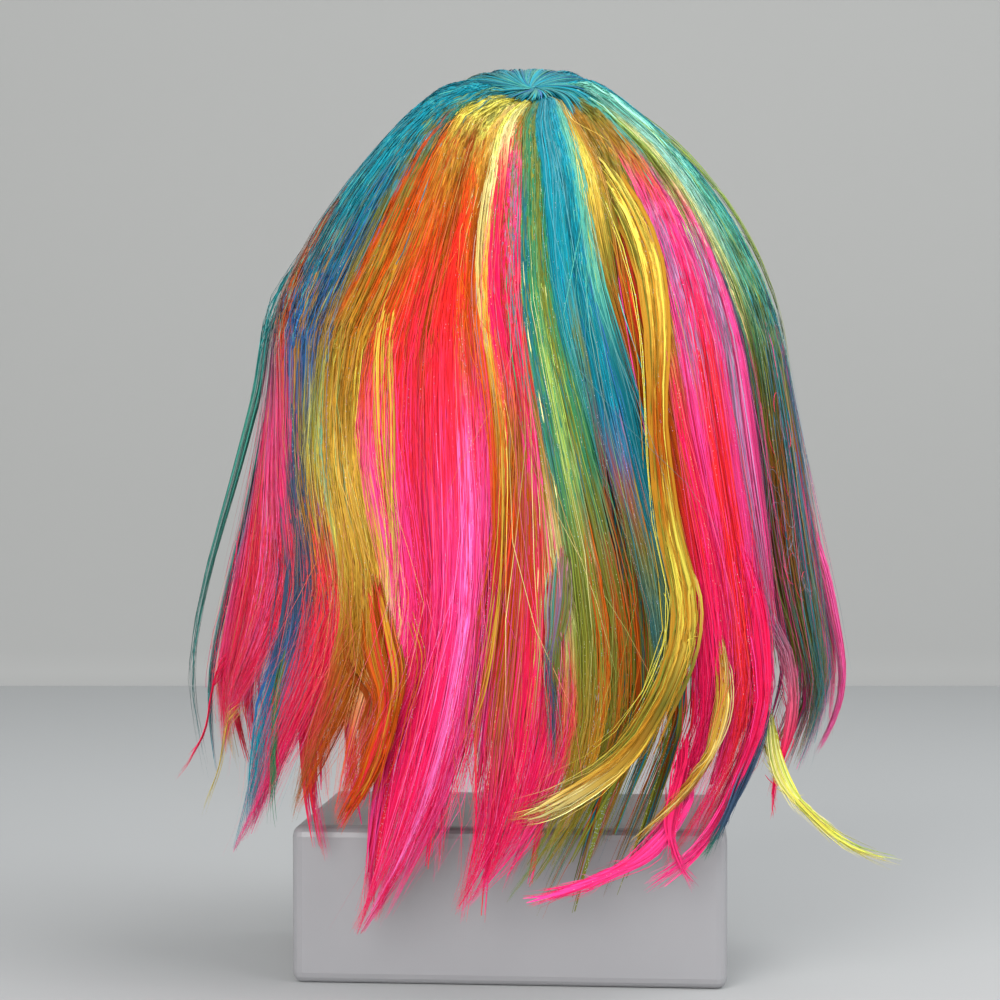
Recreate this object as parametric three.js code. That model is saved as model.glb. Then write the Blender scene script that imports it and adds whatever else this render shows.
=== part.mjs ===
// A rainbow bob wig, shaped as it is when worn, over the plain white box that it is shown on.
// Millimetres, +Z up. The origin is the middle of the box's underside. The back of the wig faces -Y,
// its face opening +Y, and +X is to the right for someone who looks at the back.
// A place on the hair has a level, which counts the rings of the outer form from the whorl down,
// and a bearing in degrees from the middle of the back, positive towards +X.
import * as THREE from "three";
import { LoftGeometry } from "three/addons/geometries/LoftGeometry.js";
import { RoundedBoxGeometry } from "three/addons/geometries/RoundedBoxGeometry.js";

// Display box
const BOX_WIDTH = 160;
const BOX_DEPTH = 107;
const BOX_HEIGHT = 58;
const BOX_EDGE_RADIUS = 4;
const BOX_EDGE_STEPS = 2;
const BOX_TURN_DEGREES = -4.5;

// Walls and clearances
const CAP_WALL = 1.5;
const SEAT_GAP = 0.4;
const HALF_GAP = 0.3;
const LOCK_THICKNESS = 4.6;
const UNDER_HAIR_DEPTH = 6.8;
const HEM_INSIDE_DEPTH = 12;
const LOOSE_LOCK_CLEARANCE = 1.2;

// Facets
const WALL_COLUMNS = 40;
const CAP_ROWS = 8;
const HANGING_ROWS = 5;
const WHORL_COLUMNS = 18;
const WHORL_ROWS = 3;
const LOOSE_LOCK_SECTIONS = 14;

// Locks: how the section bulges and how the tip narrows
const CROWN_EDGE_DROP = 0.35;
const TIP_EDGE_DROP = 0.75;
const CROWN_EDGE_LEVEL = 5;
const TIP_EDGE_LEVEL = 9;
const OUTER_PLACES = [1, 0.55, 0, -0.55, -1];
const INNER_PLACES = [-0.7, 0, 0.7];
const TAPER_LEVELS = 2.4;
const TIP_WIDTH_SHARE = 0.12;
const TIP_THICKNESS_SHARE = 0.35;
const THICKEST_FOR_WIDTH = 0.45;
const LEAST_THICKNESS = 0.5;
const LAST_SECTION_LEVELS = 0.4;
const LEAST_SECTION_STEP = 0.3;

// Hem of the under hair, as levels, with its scallops and the edges of the face opening
const BACK_HEM_LEVEL = 10.9;
const SIDE_HEM_LEVEL = 9.3;
const FACE_HEM_LEVEL = 5.3;
const SCALLOP_LEVELS = 0.45;
const SCALLOPS = 16;
const FACE_EDGE_BEARING = 122;
const FACE_EDGE_BLEND = 9;
const BACK_HEM_BEARING = 16;
const SIDE_HEM_BEARING = 75;

// Rim of the cap, as levels at the nape, the ears and the forehead
const NAPE_RIM_LEVEL = 7;
const EAR_RIM_LEVEL = 6;
const FOREHEAD_RIM_LEVEL = 4.9;
const NAPE_BEARING = 20;
const EAR_BEARING = 90;
const FOREHEAD_BEARING = 170;

// Whorl: the levels it covers and its depths below the outer form
const WHORL_LEVELS = 0.45;
const WHORL_TOP_DEPTH = 0.5;
const WHORL_BASE_DEPTH = 5.5;

// Steps for measuring which way the outer form faces
const LEVEL_STEP = 0.05;
const BEARING_STEP = 1;
const ROUTE_STEP = 0.01;

const HAIR_ROUGHNESS = 0.35;
const CAP_ROUGHNESS = 0.9;
const BOX_ROUGHNESS = 0.4;

const COLOURS = {
  pink: 0xf0417f,
  coral: 0xe8506a,
  teal: 0x2aa5ad,
  yellow: 0xe9dc52,
  cream: 0xe8dfa0,
  orange: 0xe08a45,
  lime: 0xa8b04a,
  lilac: 0xa08aa8,
  blue: 0x6f86a5,
  cap: 0x3b3338,
  box: 0xf1f1ef,
};

function table(columns, rows) {
  return rows.map((row) => Object.fromEntries(columns.map((name, i) => [name, row[i]])));
}

// Rings of the outer form, one row per level: where the ring passes the back and the front, its half
// width, the place of its middle, and how deep below it the cap lies
const RINGS = table(
  ["back_y", "back_z", "front_y", "front_z", "half_width", "middle_x", "cap_depth"],
  [
    [-40, 331, -40, 331, 0, 5, 11.5],
    [-58, 324, -14, 343.5, 21, 4, 11.8],
    [-78, 311, 22, 342, 39, 2, 12.2],
    [-95, 291, 58, 326, 60, 3, 12.8],
    [-107, 265, 88, 301, 80, 3, 14],
    [-113, 236, 102, 266, 95, 2.5, 16.5],
    [-115, 204, 107, 228, 100.5, 4, 24],
    [-113, 170, 104, 186, 107.5, 4, 33],
    [-108, 136, 100, 146, 115, 3.5, 33],
    [-101, 104, 96, 108, 120, 2.5, 33],
    [-94, 73, 92, 72, 111, 0, 33],
    [-90, 44, 88, 40, 99, 0, 33],
    [-88, 21, 84, 14, 91, 0, 33],
  ],
);

// Levels at which the edges between neighbouring locks are given
const EDGE_LEVELS = { whorl: 1, temple: 4, ear: 6, neck: 8, hem: 10, tip: 12 };

// Levels of the sections of every lock, so that neighbours share their facets
const SECTION_LEVELS = [0.5, 0.9, 1.5, 2.2, 3, 4, 5, 6, 7, 8, 9, 10, 11];

// Locks side by side round the head: the bearing of the left edge at each edge level, the level of the
// tip, how far the lock stands proud and how far its tip flares out. A lock's right edge is the next
// one's left edge.
const LOCKS = table(
  ["name", "colour", "whorl", "temple", "ear", "neck", "hem", "tip", "end", "proud", "flare"],
  [
    ["pink_front_left", "pink", -132, -132, -130, -128, -126, -126, 9.2, 0, -4],
    ["teal_side_left", "teal", -118, -118, -118, -116, -114, -112, 9.6, 1, 0],
    ["yellow_side_left", "yellow", -106, -105, -105, -103, -102, -102, 9.9, 0.4, 2],
    ["pink_side_left", "pink", -94, -92, -92, -90, -90, -92, 9.6, 0, 4],
    ["teal_left", "teal", -82, -78, -66, -47, -64, -88, 10.6, 1.5, 15],
    ["yellow_left", "yellow", -54, -44, -50, -36, -48, -64, 10.3, 1, 2],
    ["orange_left", "orange", -40, -32, -39, -27, -37, -54, 10.4, 0.5, 0],
    ["coral_left", "coral", -28, -21, -22, -17, -24, -43, 12, 0, -2],
    ["cream_left", "cream", -16, -13, -9, -9, -14, -31, 8, 1, 0],
    ["pink_back", "pink", -9, -8, -3, -4, -7, -16, 11.4, 0, -2],
    ["lime_back", "lime", -1, -2, 2, 8, 7, -6, 11.2, 1, -1],
    ["teal_centre_left", "teal", 7, 4.5, 9, 16, 14, 4, 7, 1.5, 0],
    ["teal_centre_right", "teal", 15, 10, 14, 20, 18, 8, 9.1, 1.5, 0],
    ["yellow_centre", "yellow", 25, 16, 21, 27, 24, 14, 5.8, 0.5, 0],
    ["pink_right_inner", "pink", 33, 24, 26, 31, 29, 20, 10.7, 0, -2],
    ["pink_right_outer", "coral", 43, 34, 34, 38, 37, 30, 10.9, 0.5, -2],
    ["lilac_right", "lilac", 55, 48, 46, 46, 47, 42, 8.3, 1, 0],
    ["lime_right", "lime", 63, 54, 54, 54, 55, 52, 6.4, 1, 0],
    ["teal_right", "teal", 71, 62, 62, 60, 62, 60, 9.8, 1.5, 2],
    ["pink_side_right", "pink", 91, 84, 84, 76, 76, 76, 9.4, 0, 6],
    ["yellow_side_right", "yellow", 99, 96, 96, 92, 92, 92, 9.9, 0.6, 2],
    ["teal_side_right", "teal", 108, 107, 107, 104, 102, 102, 9.6, 1, 0],
    ["pink_front_right", "pink", 119, 119, 119, 117, 114, 114, 9.2, 0, -4],
    ["fringe_teal_right", "teal", 132, 132, 131, 129, 126, 126, 6.1, 1, 3],
    ["fringe_pink_right", "pink", 148, 148, 148, 148, 148, 148, 5.8, 0, 3],
    ["fringe_yellow_right", "yellow", 164, 164, 164, 164, 164, 164, 6, 0.8, 3],
    ["fringe_pink_middle", "coral", 180, 180, 180, 180, 180, 180, 5.8, 0, 3],
    ["fringe_teal_left", "teal", 196, 196, 196, 196, 196, 196, 6, 1, 3],
    ["fringe_yellow_left", "yellow", 212, 212, 212, 212, 212, 212, 6.1, 0.6, 3],
  ],
);

const ROUTE_COLUMNS = ["level", "bearing", "rise", "width"];

// Loose locks that lie over the others: thickness, and the route of the middle from root to tip, with its
// rise above the place where it lies on the others and the lock's width there
const LOOSE_LOCKS = table(
  ["name", "colour", "thickness", "route"],
  [
    [
      "yellow_s_lock",
      "yellow",
      4,
      table(ROUTE_COLUMNS, [
        [1.7, 28, -0.5, 3],
        [3, 29.5, 0, 6],
        [4, 33, 0, 8],
        [5, 31, 0, 6],
        [6, 27, 0, 5],
        [7, 27.5, 0, 10],
        [8, 29.5, 0.5, 13],
        [9, 22, 1, 12],
        [9.6, 15, 1.5, 13],
        [10.05, 5, 1, 13],
        [10.2, -2, 0, 4],
      ]),
    ],
    [
      "pink_strand_right",
      "pink",
      3,
      table(ROUTE_COLUMNS, [
        [6.6, 39, 0, 4],
        [7.8, 44, 0, 6],
        [8.5, 44.5, 0, 7],
        [9.9, 43, 0, 7],
        [10.6, 37.5, 1, 6],
        [11.1, 26, 2, 2],
      ]),
    ],
    [
      "cream_strand_right",
      "cream",
      3,
      table(ROUTE_COLUMNS, [
        [8, 35.5, -1, 3],
        [9.1, 35, 0, 5],
        [9.8, 32, 0, 5],
        [10.6, 20, 1, 2],
      ]),
    ],
    [
      "pink_arc_hem",
      "coral",
      3,
      table(ROUTE_COLUMNS, [
        [9.9, 35.5, -2.5, 4],
        [10.6, 26.5, 0, 7],
        [11, 14, 0, 6],
        [11.25, 1, 0, 2],
      ]),
    ],
    [
      "yellow_flick_right",
      "yellow",
      3,
      table(ROUTE_COLUMNS, [
        [8.9, 50, -8.2, 4],
        [9.5, 50, 1, 6],
        [9.95, 54, 12, 7],
        [10.28, 60, 31, 6],
        [10.35, 67, 48, 2],
      ]),
    ],
    [
      "blue_strand_back",
      "blue",
      3,
      table(ROUTE_COLUMNS, [
        [7, 5.5, -2.6, 3],
        [7.8, 4.5, 0, 6],
        [8.6, 3.5, 0, 6],
        [9.6, 5, 0, 2],
      ]),
    ],
    [
      "orange_lock_left",
      "orange",
      4,
      table(ROUTE_COLUMNS, [
        [7.3, -32, -1.6, 6],
        [8.2, -26.5, -0.5, 11],
        [8.9, -23.5, 0, 12],
        [9.7, -28, 0, 12],
        [10.4, -37, 1, 4],
      ]),
    ],
    [
      "teal_strand_left",
      "teal",
      3,
      table(ROUTE_COLUMNS, [
        [5.4, -80, -0.6, 3],
        [6.8, -80, -0.6, 4],
        [8, -81, 0, 4],
        [9, -82, 0, 4],
        [9.9, -80, 4, 2],
      ]),
    ],
  ],
);

// A smooth curve through evenly spaced values, read at a place counted in values
function smoothValue(values, place) {
  const last = values.length - 1;
  const start = THREE.MathUtils.clamp(Math.floor(place), 0, last - 1);
  const t = place - start;
  const before = values[Math.max(start - 1, 0)];
  const from = values[start];
  const to = values[start + 1];
  const after = values[Math.min(start + 2, last)];
  const slopeFrom = (to - before) / 2;
  const slopeTo = (after - from) / 2;
  const bend = 3 * (to - from) - 2 * slopeFrom - slopeTo;
  const twist = slopeFrom + slopeTo - 2 * (to - from);
  return from + t * (slopeFrom + t * (bend + t * twist));
}

function ringValue(name, level) {
  return smoothValue(
    RINGS.map((ring) => ring[name]),
    level,
  );
}

function outerPoint(level, bearing) {
  const angle = THREE.MathUtils.degToRad(bearing);
  const forward = (1 - Math.cos(angle)) / 2;
  return new THREE.Vector3(
    ringValue("middle_x", level) + ringValue("half_width", level) * Math.sin(angle),
    THREE.MathUtils.lerp(ringValue("back_y", level), ringValue("front_y", level), forward),
    THREE.MathUtils.lerp(ringValue("back_z", level), ringValue("front_z", level), forward),
  );
}

function outwardAt(level, bearing) {
  const upper = Math.max(level - LEVEL_STEP, LEVEL_STEP);
  const down = outerPoint(upper + 2 * LEVEL_STEP, bearing).sub(outerPoint(upper, bearing));
  const middle = upper + LEVEL_STEP;
  const round = outerPoint(middle, bearing + BEARING_STEP).sub(outerPoint(middle, bearing - BEARING_STEP));
  return down.cross(round).normalize();
}

function hairPoint(level, bearing, depth) {
  return outerPoint(level, bearing).addScaledVector(outwardAt(level, bearing), -depth);
}

// Joins an outer and an inner skin, which both start at one pole, into a wall with a rim
function wallGeometry(outerAt, innerAt, columns, rows) {
  const points = [];
  const faces = [];
  const skinSize = 1 + rows * columns;
  for (const skinAt of [outerAt, innerAt]) {
    points.push(skinAt(0, 0));
    for (let row = 1; row <= rows; row++) {
      for (let column = 0; column < columns; column++) {
        points.push(skinAt(row, (360 * column) / columns));
      }
    }
  }
  const outer = (row, column) => (row === 0 ? 0 : 1 + (row - 1) * columns + (column % columns));
  const inner = (row, column) => skinSize + outer(row, column);
  for (let column = 0; column < columns; column++) {
    for (let row = 0; row < rows; row++) {
      for (const [at, turned] of [
        [outer, false],
        [inner, true],
      ]) {
        const upper = [at(row, column), at(row, column + 1)];
        const lower = [at(row + 1, column), at(row + 1, column + 1)];
        const pair = [[upper[0], lower[0], lower[1]]];
        if (row > 0) pair.push([upper[0], lower[1], upper[1]]);
        for (const face of pair) faces.push(...(turned ? face.reverse() : face));
      }
    }
    const rimOuter = [outer(rows, column), outer(rows, column + 1)];
    const rimInner = [inner(rows, column), inner(rows, column + 1)];
    faces.push(rimOuter[0], rimInner[0], rimInner[1]);
    faces.push(rimOuter[0], rimInner[1], rimOuter[1]);
  }
  return new THREE.BufferGeometry().setFromPoints(points).setIndex(faces);
}

function named(name, geometry, colour, roughness) {
  geometry.computeVertexNormals();
  const material = new THREE.MeshStandardMaterial({ color: COLOURS[colour], roughness, metalness: 0 });
  const mesh = new THREE.Mesh(geometry, material);
  mesh.name = name;
  return mesh;
}

// Bearing folded to the half turn from the back, 0, to the front, 180
function fromBack(bearing) {
  const turned = Math.abs(bearing) % 360;
  return turned > 180 ? 360 - turned : turned;
}

// Level of the cap's rim, which runs from the nape over the ears to the forehead
function rimLevel(bearing) {
  const away = fromBack(bearing);
  const toEar = THREE.MathUtils.smoothstep(away, NAPE_BEARING, EAR_BEARING);
  const toForehead = THREE.MathUtils.smoothstep(away, EAR_BEARING, FOREHEAD_BEARING);
  const behind = THREE.MathUtils.lerp(NAPE_RIM_LEVEL, EAR_RIM_LEVEL, toEar);
  return behind + (FOREHEAD_RIM_LEVEL - EAR_RIM_LEVEL) * toForehead;
}

// Level of the under hair's hem, which is scalloped and arched over the face
function hemLevel(bearing) {
  const away = fromBack(bearing);
  const toSide = THREE.MathUtils.smoothstep(away, BACK_HEM_BEARING, SIDE_HEM_BEARING);
  const faceStart = FACE_EDGE_BEARING - FACE_EDGE_BLEND;
  const toFace = THREE.MathUtils.smoothstep(away, faceStart, FACE_EDGE_BEARING + FACE_EDGE_BLEND);
  const hanging = THREE.MathUtils.lerp(BACK_HEM_LEVEL, SIDE_HEM_LEVEL, toSide);
  const scallop = SCALLOP_LEVELS * Math.cos(THREE.MathUtils.degToRad(bearing * SCALLOPS));
  return THREE.MathUtils.lerp(hanging + scallop, FACE_HEM_LEVEL, toFace);
}

// Net cap that the hair is sewn to
function makeCap() {
  const skin = (extraDepth) => (row, bearing) => {
    const level = (rimLevel(bearing) * row) / CAP_ROWS;
    return hairPoint(level, bearing, ringValue("cap_depth", level) + extraDepth);
  };
  const wall = wallGeometry(skin(0), skin(CAP_WALL), WALL_COLUMNS, CAP_ROWS);
  return named("wig_cap", wall, "cap", CAP_ROUGHNESS);
}

// Pink hair under the coloured locks: it lies on the cap and hangs free below the cap's rim
function makeUnderHair() {
  const hanging = (row) => Math.max(row - CAP_ROWS, 0) / HANGING_ROWS;
  const levelOf = (row, bearing) => {
    const onCap = (rimLevel(bearing) * Math.min(row, CAP_ROWS)) / CAP_ROWS;
    return THREE.MathUtils.lerp(onCap, hemLevel(bearing), hanging(row));
  };
  const outerSkin = (row, bearing) => hairPoint(levelOf(row, bearing), bearing, UNDER_HAIR_DEPTH);
  const innerSkin = (row, bearing) => {
    const level = levelOf(row, bearing);
    const onCap = ringValue("cap_depth", Math.min(level, rimLevel(bearing))) - SEAT_GAP;
    const depth = THREE.MathUtils.lerp(onCap, HEM_INSIDE_DEPTH, Math.sqrt(hanging(row)));
    return hairPoint(level, bearing, depth);
  };
  const wall = wallGeometry(outerSkin, innerSkin, WALL_COLUMNS, CAP_ROWS + HANGING_ROWS);
  return named("under_hair", wall, "pink", HAIR_ROUGHNESS);
}

// Swirl at the crown that closes the ring of lock roots
function makeWhorl() {
  const skin = (depth) => (row, bearing) => hairPoint((WHORL_LEVELS * row) / WHORL_ROWS, bearing, depth);
  const disc = wallGeometry(skin(WHORL_TOP_DEPTH), skin(WHORL_BASE_DEPTH), WHORL_COLUMNS, WHORL_ROWS);
  return named("crown_whorl", disc, "teal", HAIR_ROUGHNESS);
}

function edgeBearing(lock, level) {
  const names = Object.keys(EDGE_LEVELS);
  const levels = Object.values(EDGE_LEVELS);
  const above = THREE.MathUtils.clamp(levels.findLastIndex((each) => each <= level), 0, levels.length - 2);
  const share = (level - levels[above]) / (levels[above + 1] - levels[above]);
  const bearings = names.map((name) => lock[name]);
  return smoothValue(bearings, above + Math.max(share, 0));
}

// How much of its width or thickness a lock keeps at a level, given its share at the tip
function tipShare(lock, level, least) {
  const left = THREE.MathUtils.clamp((lock.end - level) / TAPER_LEVELS, 0, 1);
  return THREE.MathUtils.lerp(least, 1, Math.sqrt(left * (2 - left)));
}

// Section of a lock between its two edges at one level: a low dome outside, flat inside
function lockSection(lock, next, turn, level) {
  const left = edgeBearing(lock, level);
  const right = edgeBearing(next, level) + turn;
  const middle = (left + right) / 2;
  const arc = hairPoint(level, left, 0).distanceTo(hairPoint(level, right, 0));
  const kept = (arc - 2 * HALF_GAP) / arc;
  const halfSpan = ((right - left) / 2) * kept * tipShare(lock, level, TIP_WIDTH_SHARE);
  const thickness = Math.min(LOCK_THICKNESS, THICKEST_FOR_WIDTH * arc + LEAST_THICKNESS);
  const height = (thickness + lock.proud) * tipShare(lock, level, TIP_THICKNESS_SHARE);
  const flared = lock.flare * (1 - Math.sqrt(tipShare(lock, level, 0)));
  const at = (place, depth) => hairPoint(level, middle + place * halfSpan, depth - flared);
  const base = LOCK_THICKNESS;
  const towardsTip = THREE.MathUtils.smoothstep(level, CROWN_EDGE_LEVEL, TIP_EDGE_LEVEL);
  const drop = THREE.MathUtils.lerp(CROWN_EDGE_DROP, TIP_EDGE_DROP, towardsTip);
  const dome = OUTER_PLACES.map((place) => at(place, base - height * (1 - drop * place * place)));
  return [...dome, ...INNER_PLACES.map((place) => at(place, base))];
}

function makeLock(lock, index) {
  const next = LOCKS[(index + 1) % LOCKS.length];
  const turn = index + 1 === LOCKS.length ? 360 : 0;
  const nearTip = lock.end - LAST_SECTION_LEVELS;
  const above = SECTION_LEVELS.filter((level) => level < nearTip - LEAST_SECTION_STEP);
  const sections = [...above, nearTip, lock.end].map((level) => lockSection(lock, next, turn, level));
  const loft = new LoftGeometry(sections, { capStart: true, capEnd: true });
  return named(lock.name, loft, lock.colour, HAIR_ROUGHNESS);
}

// A lock that follows a route over the others, flatter where it is narrower
function makeLooseLock({ name, colour, thickness, route }) {
  const widest = Math.max(...route.map((stop) => stop.width));
  const routeValue = (column, share) =>
    smoothValue(
      route.map((stop) => stop[column]),
      share * (route.length - 1),
    );
  const middleAt = (share) => {
    const rise = LOOSE_LOCK_CLEARANCE + routeValue("rise", share);
    return hairPoint(routeValue("level", share), routeValue("bearing", share), -rise);
  };
  const sectionAt = (share) => {
    const from = Math.max(share - ROUTE_STEP, 0);
    const along = middleAt(Math.min(share + ROUTE_STEP, 1)).sub(middleAt(from)).normalize();
    const out = outwardAt(routeValue("level", share), routeValue("bearing", share));
    out.addScaledVector(along, -out.dot(along)).normalize();
    const across = out.clone().cross(along);
    const width = routeValue("width", share);
    const height = thickness * Math.sqrt(width / widest);
    const at = (place, up) =>
      middleAt(share)
        .addScaledVector(across, (place * width) / 2)
        .addScaledVector(out, up);
    const dome = OUTER_PLACES.map((place) => at(place, height * (1 - TIP_EDGE_DROP * place * place)));
    return [...dome, ...INNER_PLACES.map((place) => at(place, 0))];
  };
  const shares = Array.from({ length: LOOSE_LOCK_SECTIONS }, (_, i) => i / (LOOSE_LOCK_SECTIONS - 1));
  const loft = new LoftGeometry(shares.map(sectionAt), { capStart: true, capEnd: true });
  return named(name, loft, colour, HAIR_ROUGHNESS);
}

// Plain box with rounded edges, turned a little and standing on the origin
function makeBox() {
  const block = new RoundedBoxGeometry(BOX_WIDTH, BOX_DEPTH, BOX_HEIGHT, BOX_EDGE_STEPS, BOX_EDGE_RADIUS);
  const box = named("display_box", block, "box", BOX_ROUGHNESS);
  box.position.z = BOX_HEIGHT / 2;
  box.rotation.z = THREE.MathUtils.degToRad(BOX_TURN_DEGREES);
  return box;
}

const wig = new THREE.Group();
wig.add(makeCap(), makeUnderHair(), makeWhorl());
wig.add(...LOCKS.map(makeLock));
wig.add(...LOOSE_LOCKS.map(makeLooseLock));

const part = new THREE.Group();
part.add(wig, makeBox());
export default part;
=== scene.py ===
import math

import bpy
import numpy as np
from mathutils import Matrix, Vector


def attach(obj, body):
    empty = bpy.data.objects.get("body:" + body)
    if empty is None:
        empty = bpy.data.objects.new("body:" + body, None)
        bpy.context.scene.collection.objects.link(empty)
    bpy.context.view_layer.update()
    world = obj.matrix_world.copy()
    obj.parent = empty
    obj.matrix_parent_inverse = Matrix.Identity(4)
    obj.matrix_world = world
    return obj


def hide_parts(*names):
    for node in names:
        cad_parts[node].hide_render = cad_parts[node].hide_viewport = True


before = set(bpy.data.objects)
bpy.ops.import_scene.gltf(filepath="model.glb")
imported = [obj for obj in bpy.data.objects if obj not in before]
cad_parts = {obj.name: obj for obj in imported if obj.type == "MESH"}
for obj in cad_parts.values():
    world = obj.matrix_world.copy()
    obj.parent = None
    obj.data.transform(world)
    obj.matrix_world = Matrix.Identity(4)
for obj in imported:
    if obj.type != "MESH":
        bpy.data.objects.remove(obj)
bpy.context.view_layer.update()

MM = 0.001
SEED = 7
rng = np.random.default_rng(SEED)

# Camera, level and straight behind the wig
CAMERA_PLACE = (-0.007, -0.9, 0.178)
CAMERA_LENS = 83.4
CAMERA_SENSOR = 36

# Wide ribbons that back each lock and fine fibres over them, all flat strips: steps along the length, middle
# width and how many to a millimetre across a lock, and the share of them in the locks round the face
RIBBON_STEPS = 15
RIBBON_WIDTH = 1.5
RIBBONS_PER_MM = 1.3
FIBRE_STEPS = 13
FIBRE_WIDTH = 0.32
FIBRES_PER_MM = 32
HIDDEN_SHARE = 0.6

# Streaks inside a strand: how many to a millimetre across, millimetres along one, and the lengths of them
# that the strands are spread over
STREAKS_PER_MM = 1.9
STREAK_LENGTH = 220
STREAK_SPREAD = 60

# Painted glints: pale specks on some threads among the strands, standing in for the sparkle of tinsel. Their
# share, their colours and the glints to a streak's length
PAINTED_GLINT_SHARE = 0.05
PAINTED_GLINT_COLOURS = ("pale_blue", "pale_violet", "pale_gold", "pale_blue")
PAINTED_GLINTS_PER_STREAK = 120

# Lock sections, as in the solids
LOCK_THICKNESS = 4.6
HALF_GAP = 0.3
CROWN_EDGE_DROP = 0.35
TIP_EDGE_DROP = 0.75
CROWN_EDGE_LEVEL = 5
TIP_EDGE_LEVEL = 9
TAPER_LEVELS = 2.4
TIP_WIDTH_SHARE = 0.12
TIP_THICKNESS_SHARE = 0.35
THICKEST_FOR_WIDTH = 0.45
LEAST_THICKNESS = 0.5
LOOSE_LOCK_CLEARANCE = 1.2

# Under hair and its hem, as in the solids
UNDER_HAIR_DEPTH = 6.8
BACK_HEM_LEVEL = 10.9
SIDE_HEM_LEVEL = 9.3
FACE_HEM_LEVEL = 5.3
SCALLOP_LEVELS = 0.45
SCALLOPS = 16
FACE_EDGE_BEARING = 122
FACE_EDGE_BLEND = 9
BACK_HEM_BEARING = 16
SIDE_HEM_BEARING = 75

# Rings of the outer form, one row per level
RING_COLUMNS = ("back_y", "back_z", "front_y", "front_z", "half_width", "middle_x")
RINGS = np.array([
    (-40, 331, -40, 331, 0, 5),
    (-58, 324, -14, 343.5, 21, 4),
    (-78, 311, 22, 342, 39, 2),
    (-95, 291, 58, 326, 60, 3),
    (-107, 265, 88, 301, 80, 3),
    (-113, 236, 102, 266, 95, 2.5),
    (-115, 204, 107, 228, 100.5, 4),
    (-113, 170, 104, 186, 107.5, 4),
    (-108, 136, 100, 146, 115, 3.5),
    (-101, 104, 96, 108, 120, 2.5),
    (-94, 73, 92, 72, 111, 0),
    (-90, 44, 88, 40, 99, 0),
    (-88, 21, 84, 14, 91, 0),
], float)

# Levels at which the edges between neighbouring locks are given
EDGE_LEVELS = (1, 4, 6, 8, 10, 12)

# Locks side by side round the wig: slot, bearings of the left edge at the edge levels, level of the tip,
# how far the lock stands proud and how far its tip flares out. The next row's left edge is the right edge.
LOCK_COLUMNS = ("name", "slot", "edge", "end", "proud", "flare")
LOCKS = [dict(zip(LOCK_COLUMNS, row)) for row in [
    ("pink_front_left", "hair_pink", (-132, -132, -130, -128, -126, -126), 9.2, 0, -4),
    ("teal_side_left", "hair_teal", (-118, -118, -118, -116, -114, -112), 9.6, 1, 0),
    ("yellow_side_left", "hair_yellow", (-106, -105, -105, -103, -102, -102), 9.9, 0.4, 2),
    ("pink_side_left", "hair_pink", (-94, -92, -92, -90, -90, -92), 9.6, 0, 4),
    ("teal_left", "hair_teal", (-82, -78, -66, -47, -64, -88), 10.6, 1.5, 15),
    ("yellow_left", "hair_yellow", (-54, -44, -50, -36, -48, -64), 10.3, 1, 2),
    ("orange_left", "hair_orange", (-40, -32, -39, -27, -37, -54), 10.4, 0.5, 0),
    ("coral_left", "hair_coral", (-28, -21, -22, -17, -24, -43), 12, 0, -2),
    ("cream_left", "hair_cream", (-16, -13, -9, -9, -14, -31), 8, 1, 0),
    ("pink_back", "hair_pink", (-9, -8, -3, -4, -7, -16), 11.4, 0, -2),
    ("lime_back", "hair_lime", (-1, -2, 2, 8, 7, -6), 11.2, 1, -1),
    ("teal_centre_left", "hair_teal", (7, 4.5, 9, 16, 14, 4), 7, 1.5, 0),
    ("teal_centre_right", "hair_teal", (15, 10, 14, 20, 18, 8), 9.1, 1.5, 0),
    ("yellow_centre", "hair_yellow", (25, 16, 21, 27, 24, 14), 5.8, 0.5, 0),
    ("pink_right_inner", "hair_pink", (33, 24, 26, 31, 29, 20), 10.7, 0, -2),
    ("pink_right_outer", "hair_coral", (43, 34, 34, 38, 37, 30), 10.9, 0.5, -2),
    ("lilac_right", "hair_lilac", (55, 48, 46, 46, 47, 42), 8.3, 1, 0),
    ("lime_right", "hair_lime", (63, 54, 54, 54, 55, 52), 6.4, 1, 0),
    ("teal_right", "hair_teal", (71, 62, 62, 60, 62, 60), 9.8, 1.5, 2),
    ("pink_side_right", "hair_pink", (91, 84, 84, 76, 76, 76), 9.4, 0, 6),
    ("yellow_side_right", "hair_yellow", (99, 96, 96, 92, 92, 92), 9.9, 0.6, 2),
    ("teal_side_right", "hair_teal", (108, 107, 107, 104, 102, 102), 9.6, 1, 0),
    ("pink_front_right", "hair_pink", (119, 119, 119, 117, 114, 114), 9.2, 0, -4),
    ("fringe_teal_right", "hair_teal", (132, 132, 131, 129, 126, 126), 6.1, 1, 3),
    ("fringe_pink_right", "hair_pink", (148,) * 6, 5.8, 0, 3),
    ("fringe_yellow_right", "hair_yellow", (164,) * 6, 6, 0.8, 3),
    ("fringe_pink_middle", "hair_coral", (180,) * 6, 5.8, 0, 3),
    ("fringe_teal_left", "hair_teal", (196,) * 6, 6, 1, 3),
    ("fringe_yellow_left", "hair_yellow", (212,) * 6, 6.1, 0.6, 3),
]]

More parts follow.
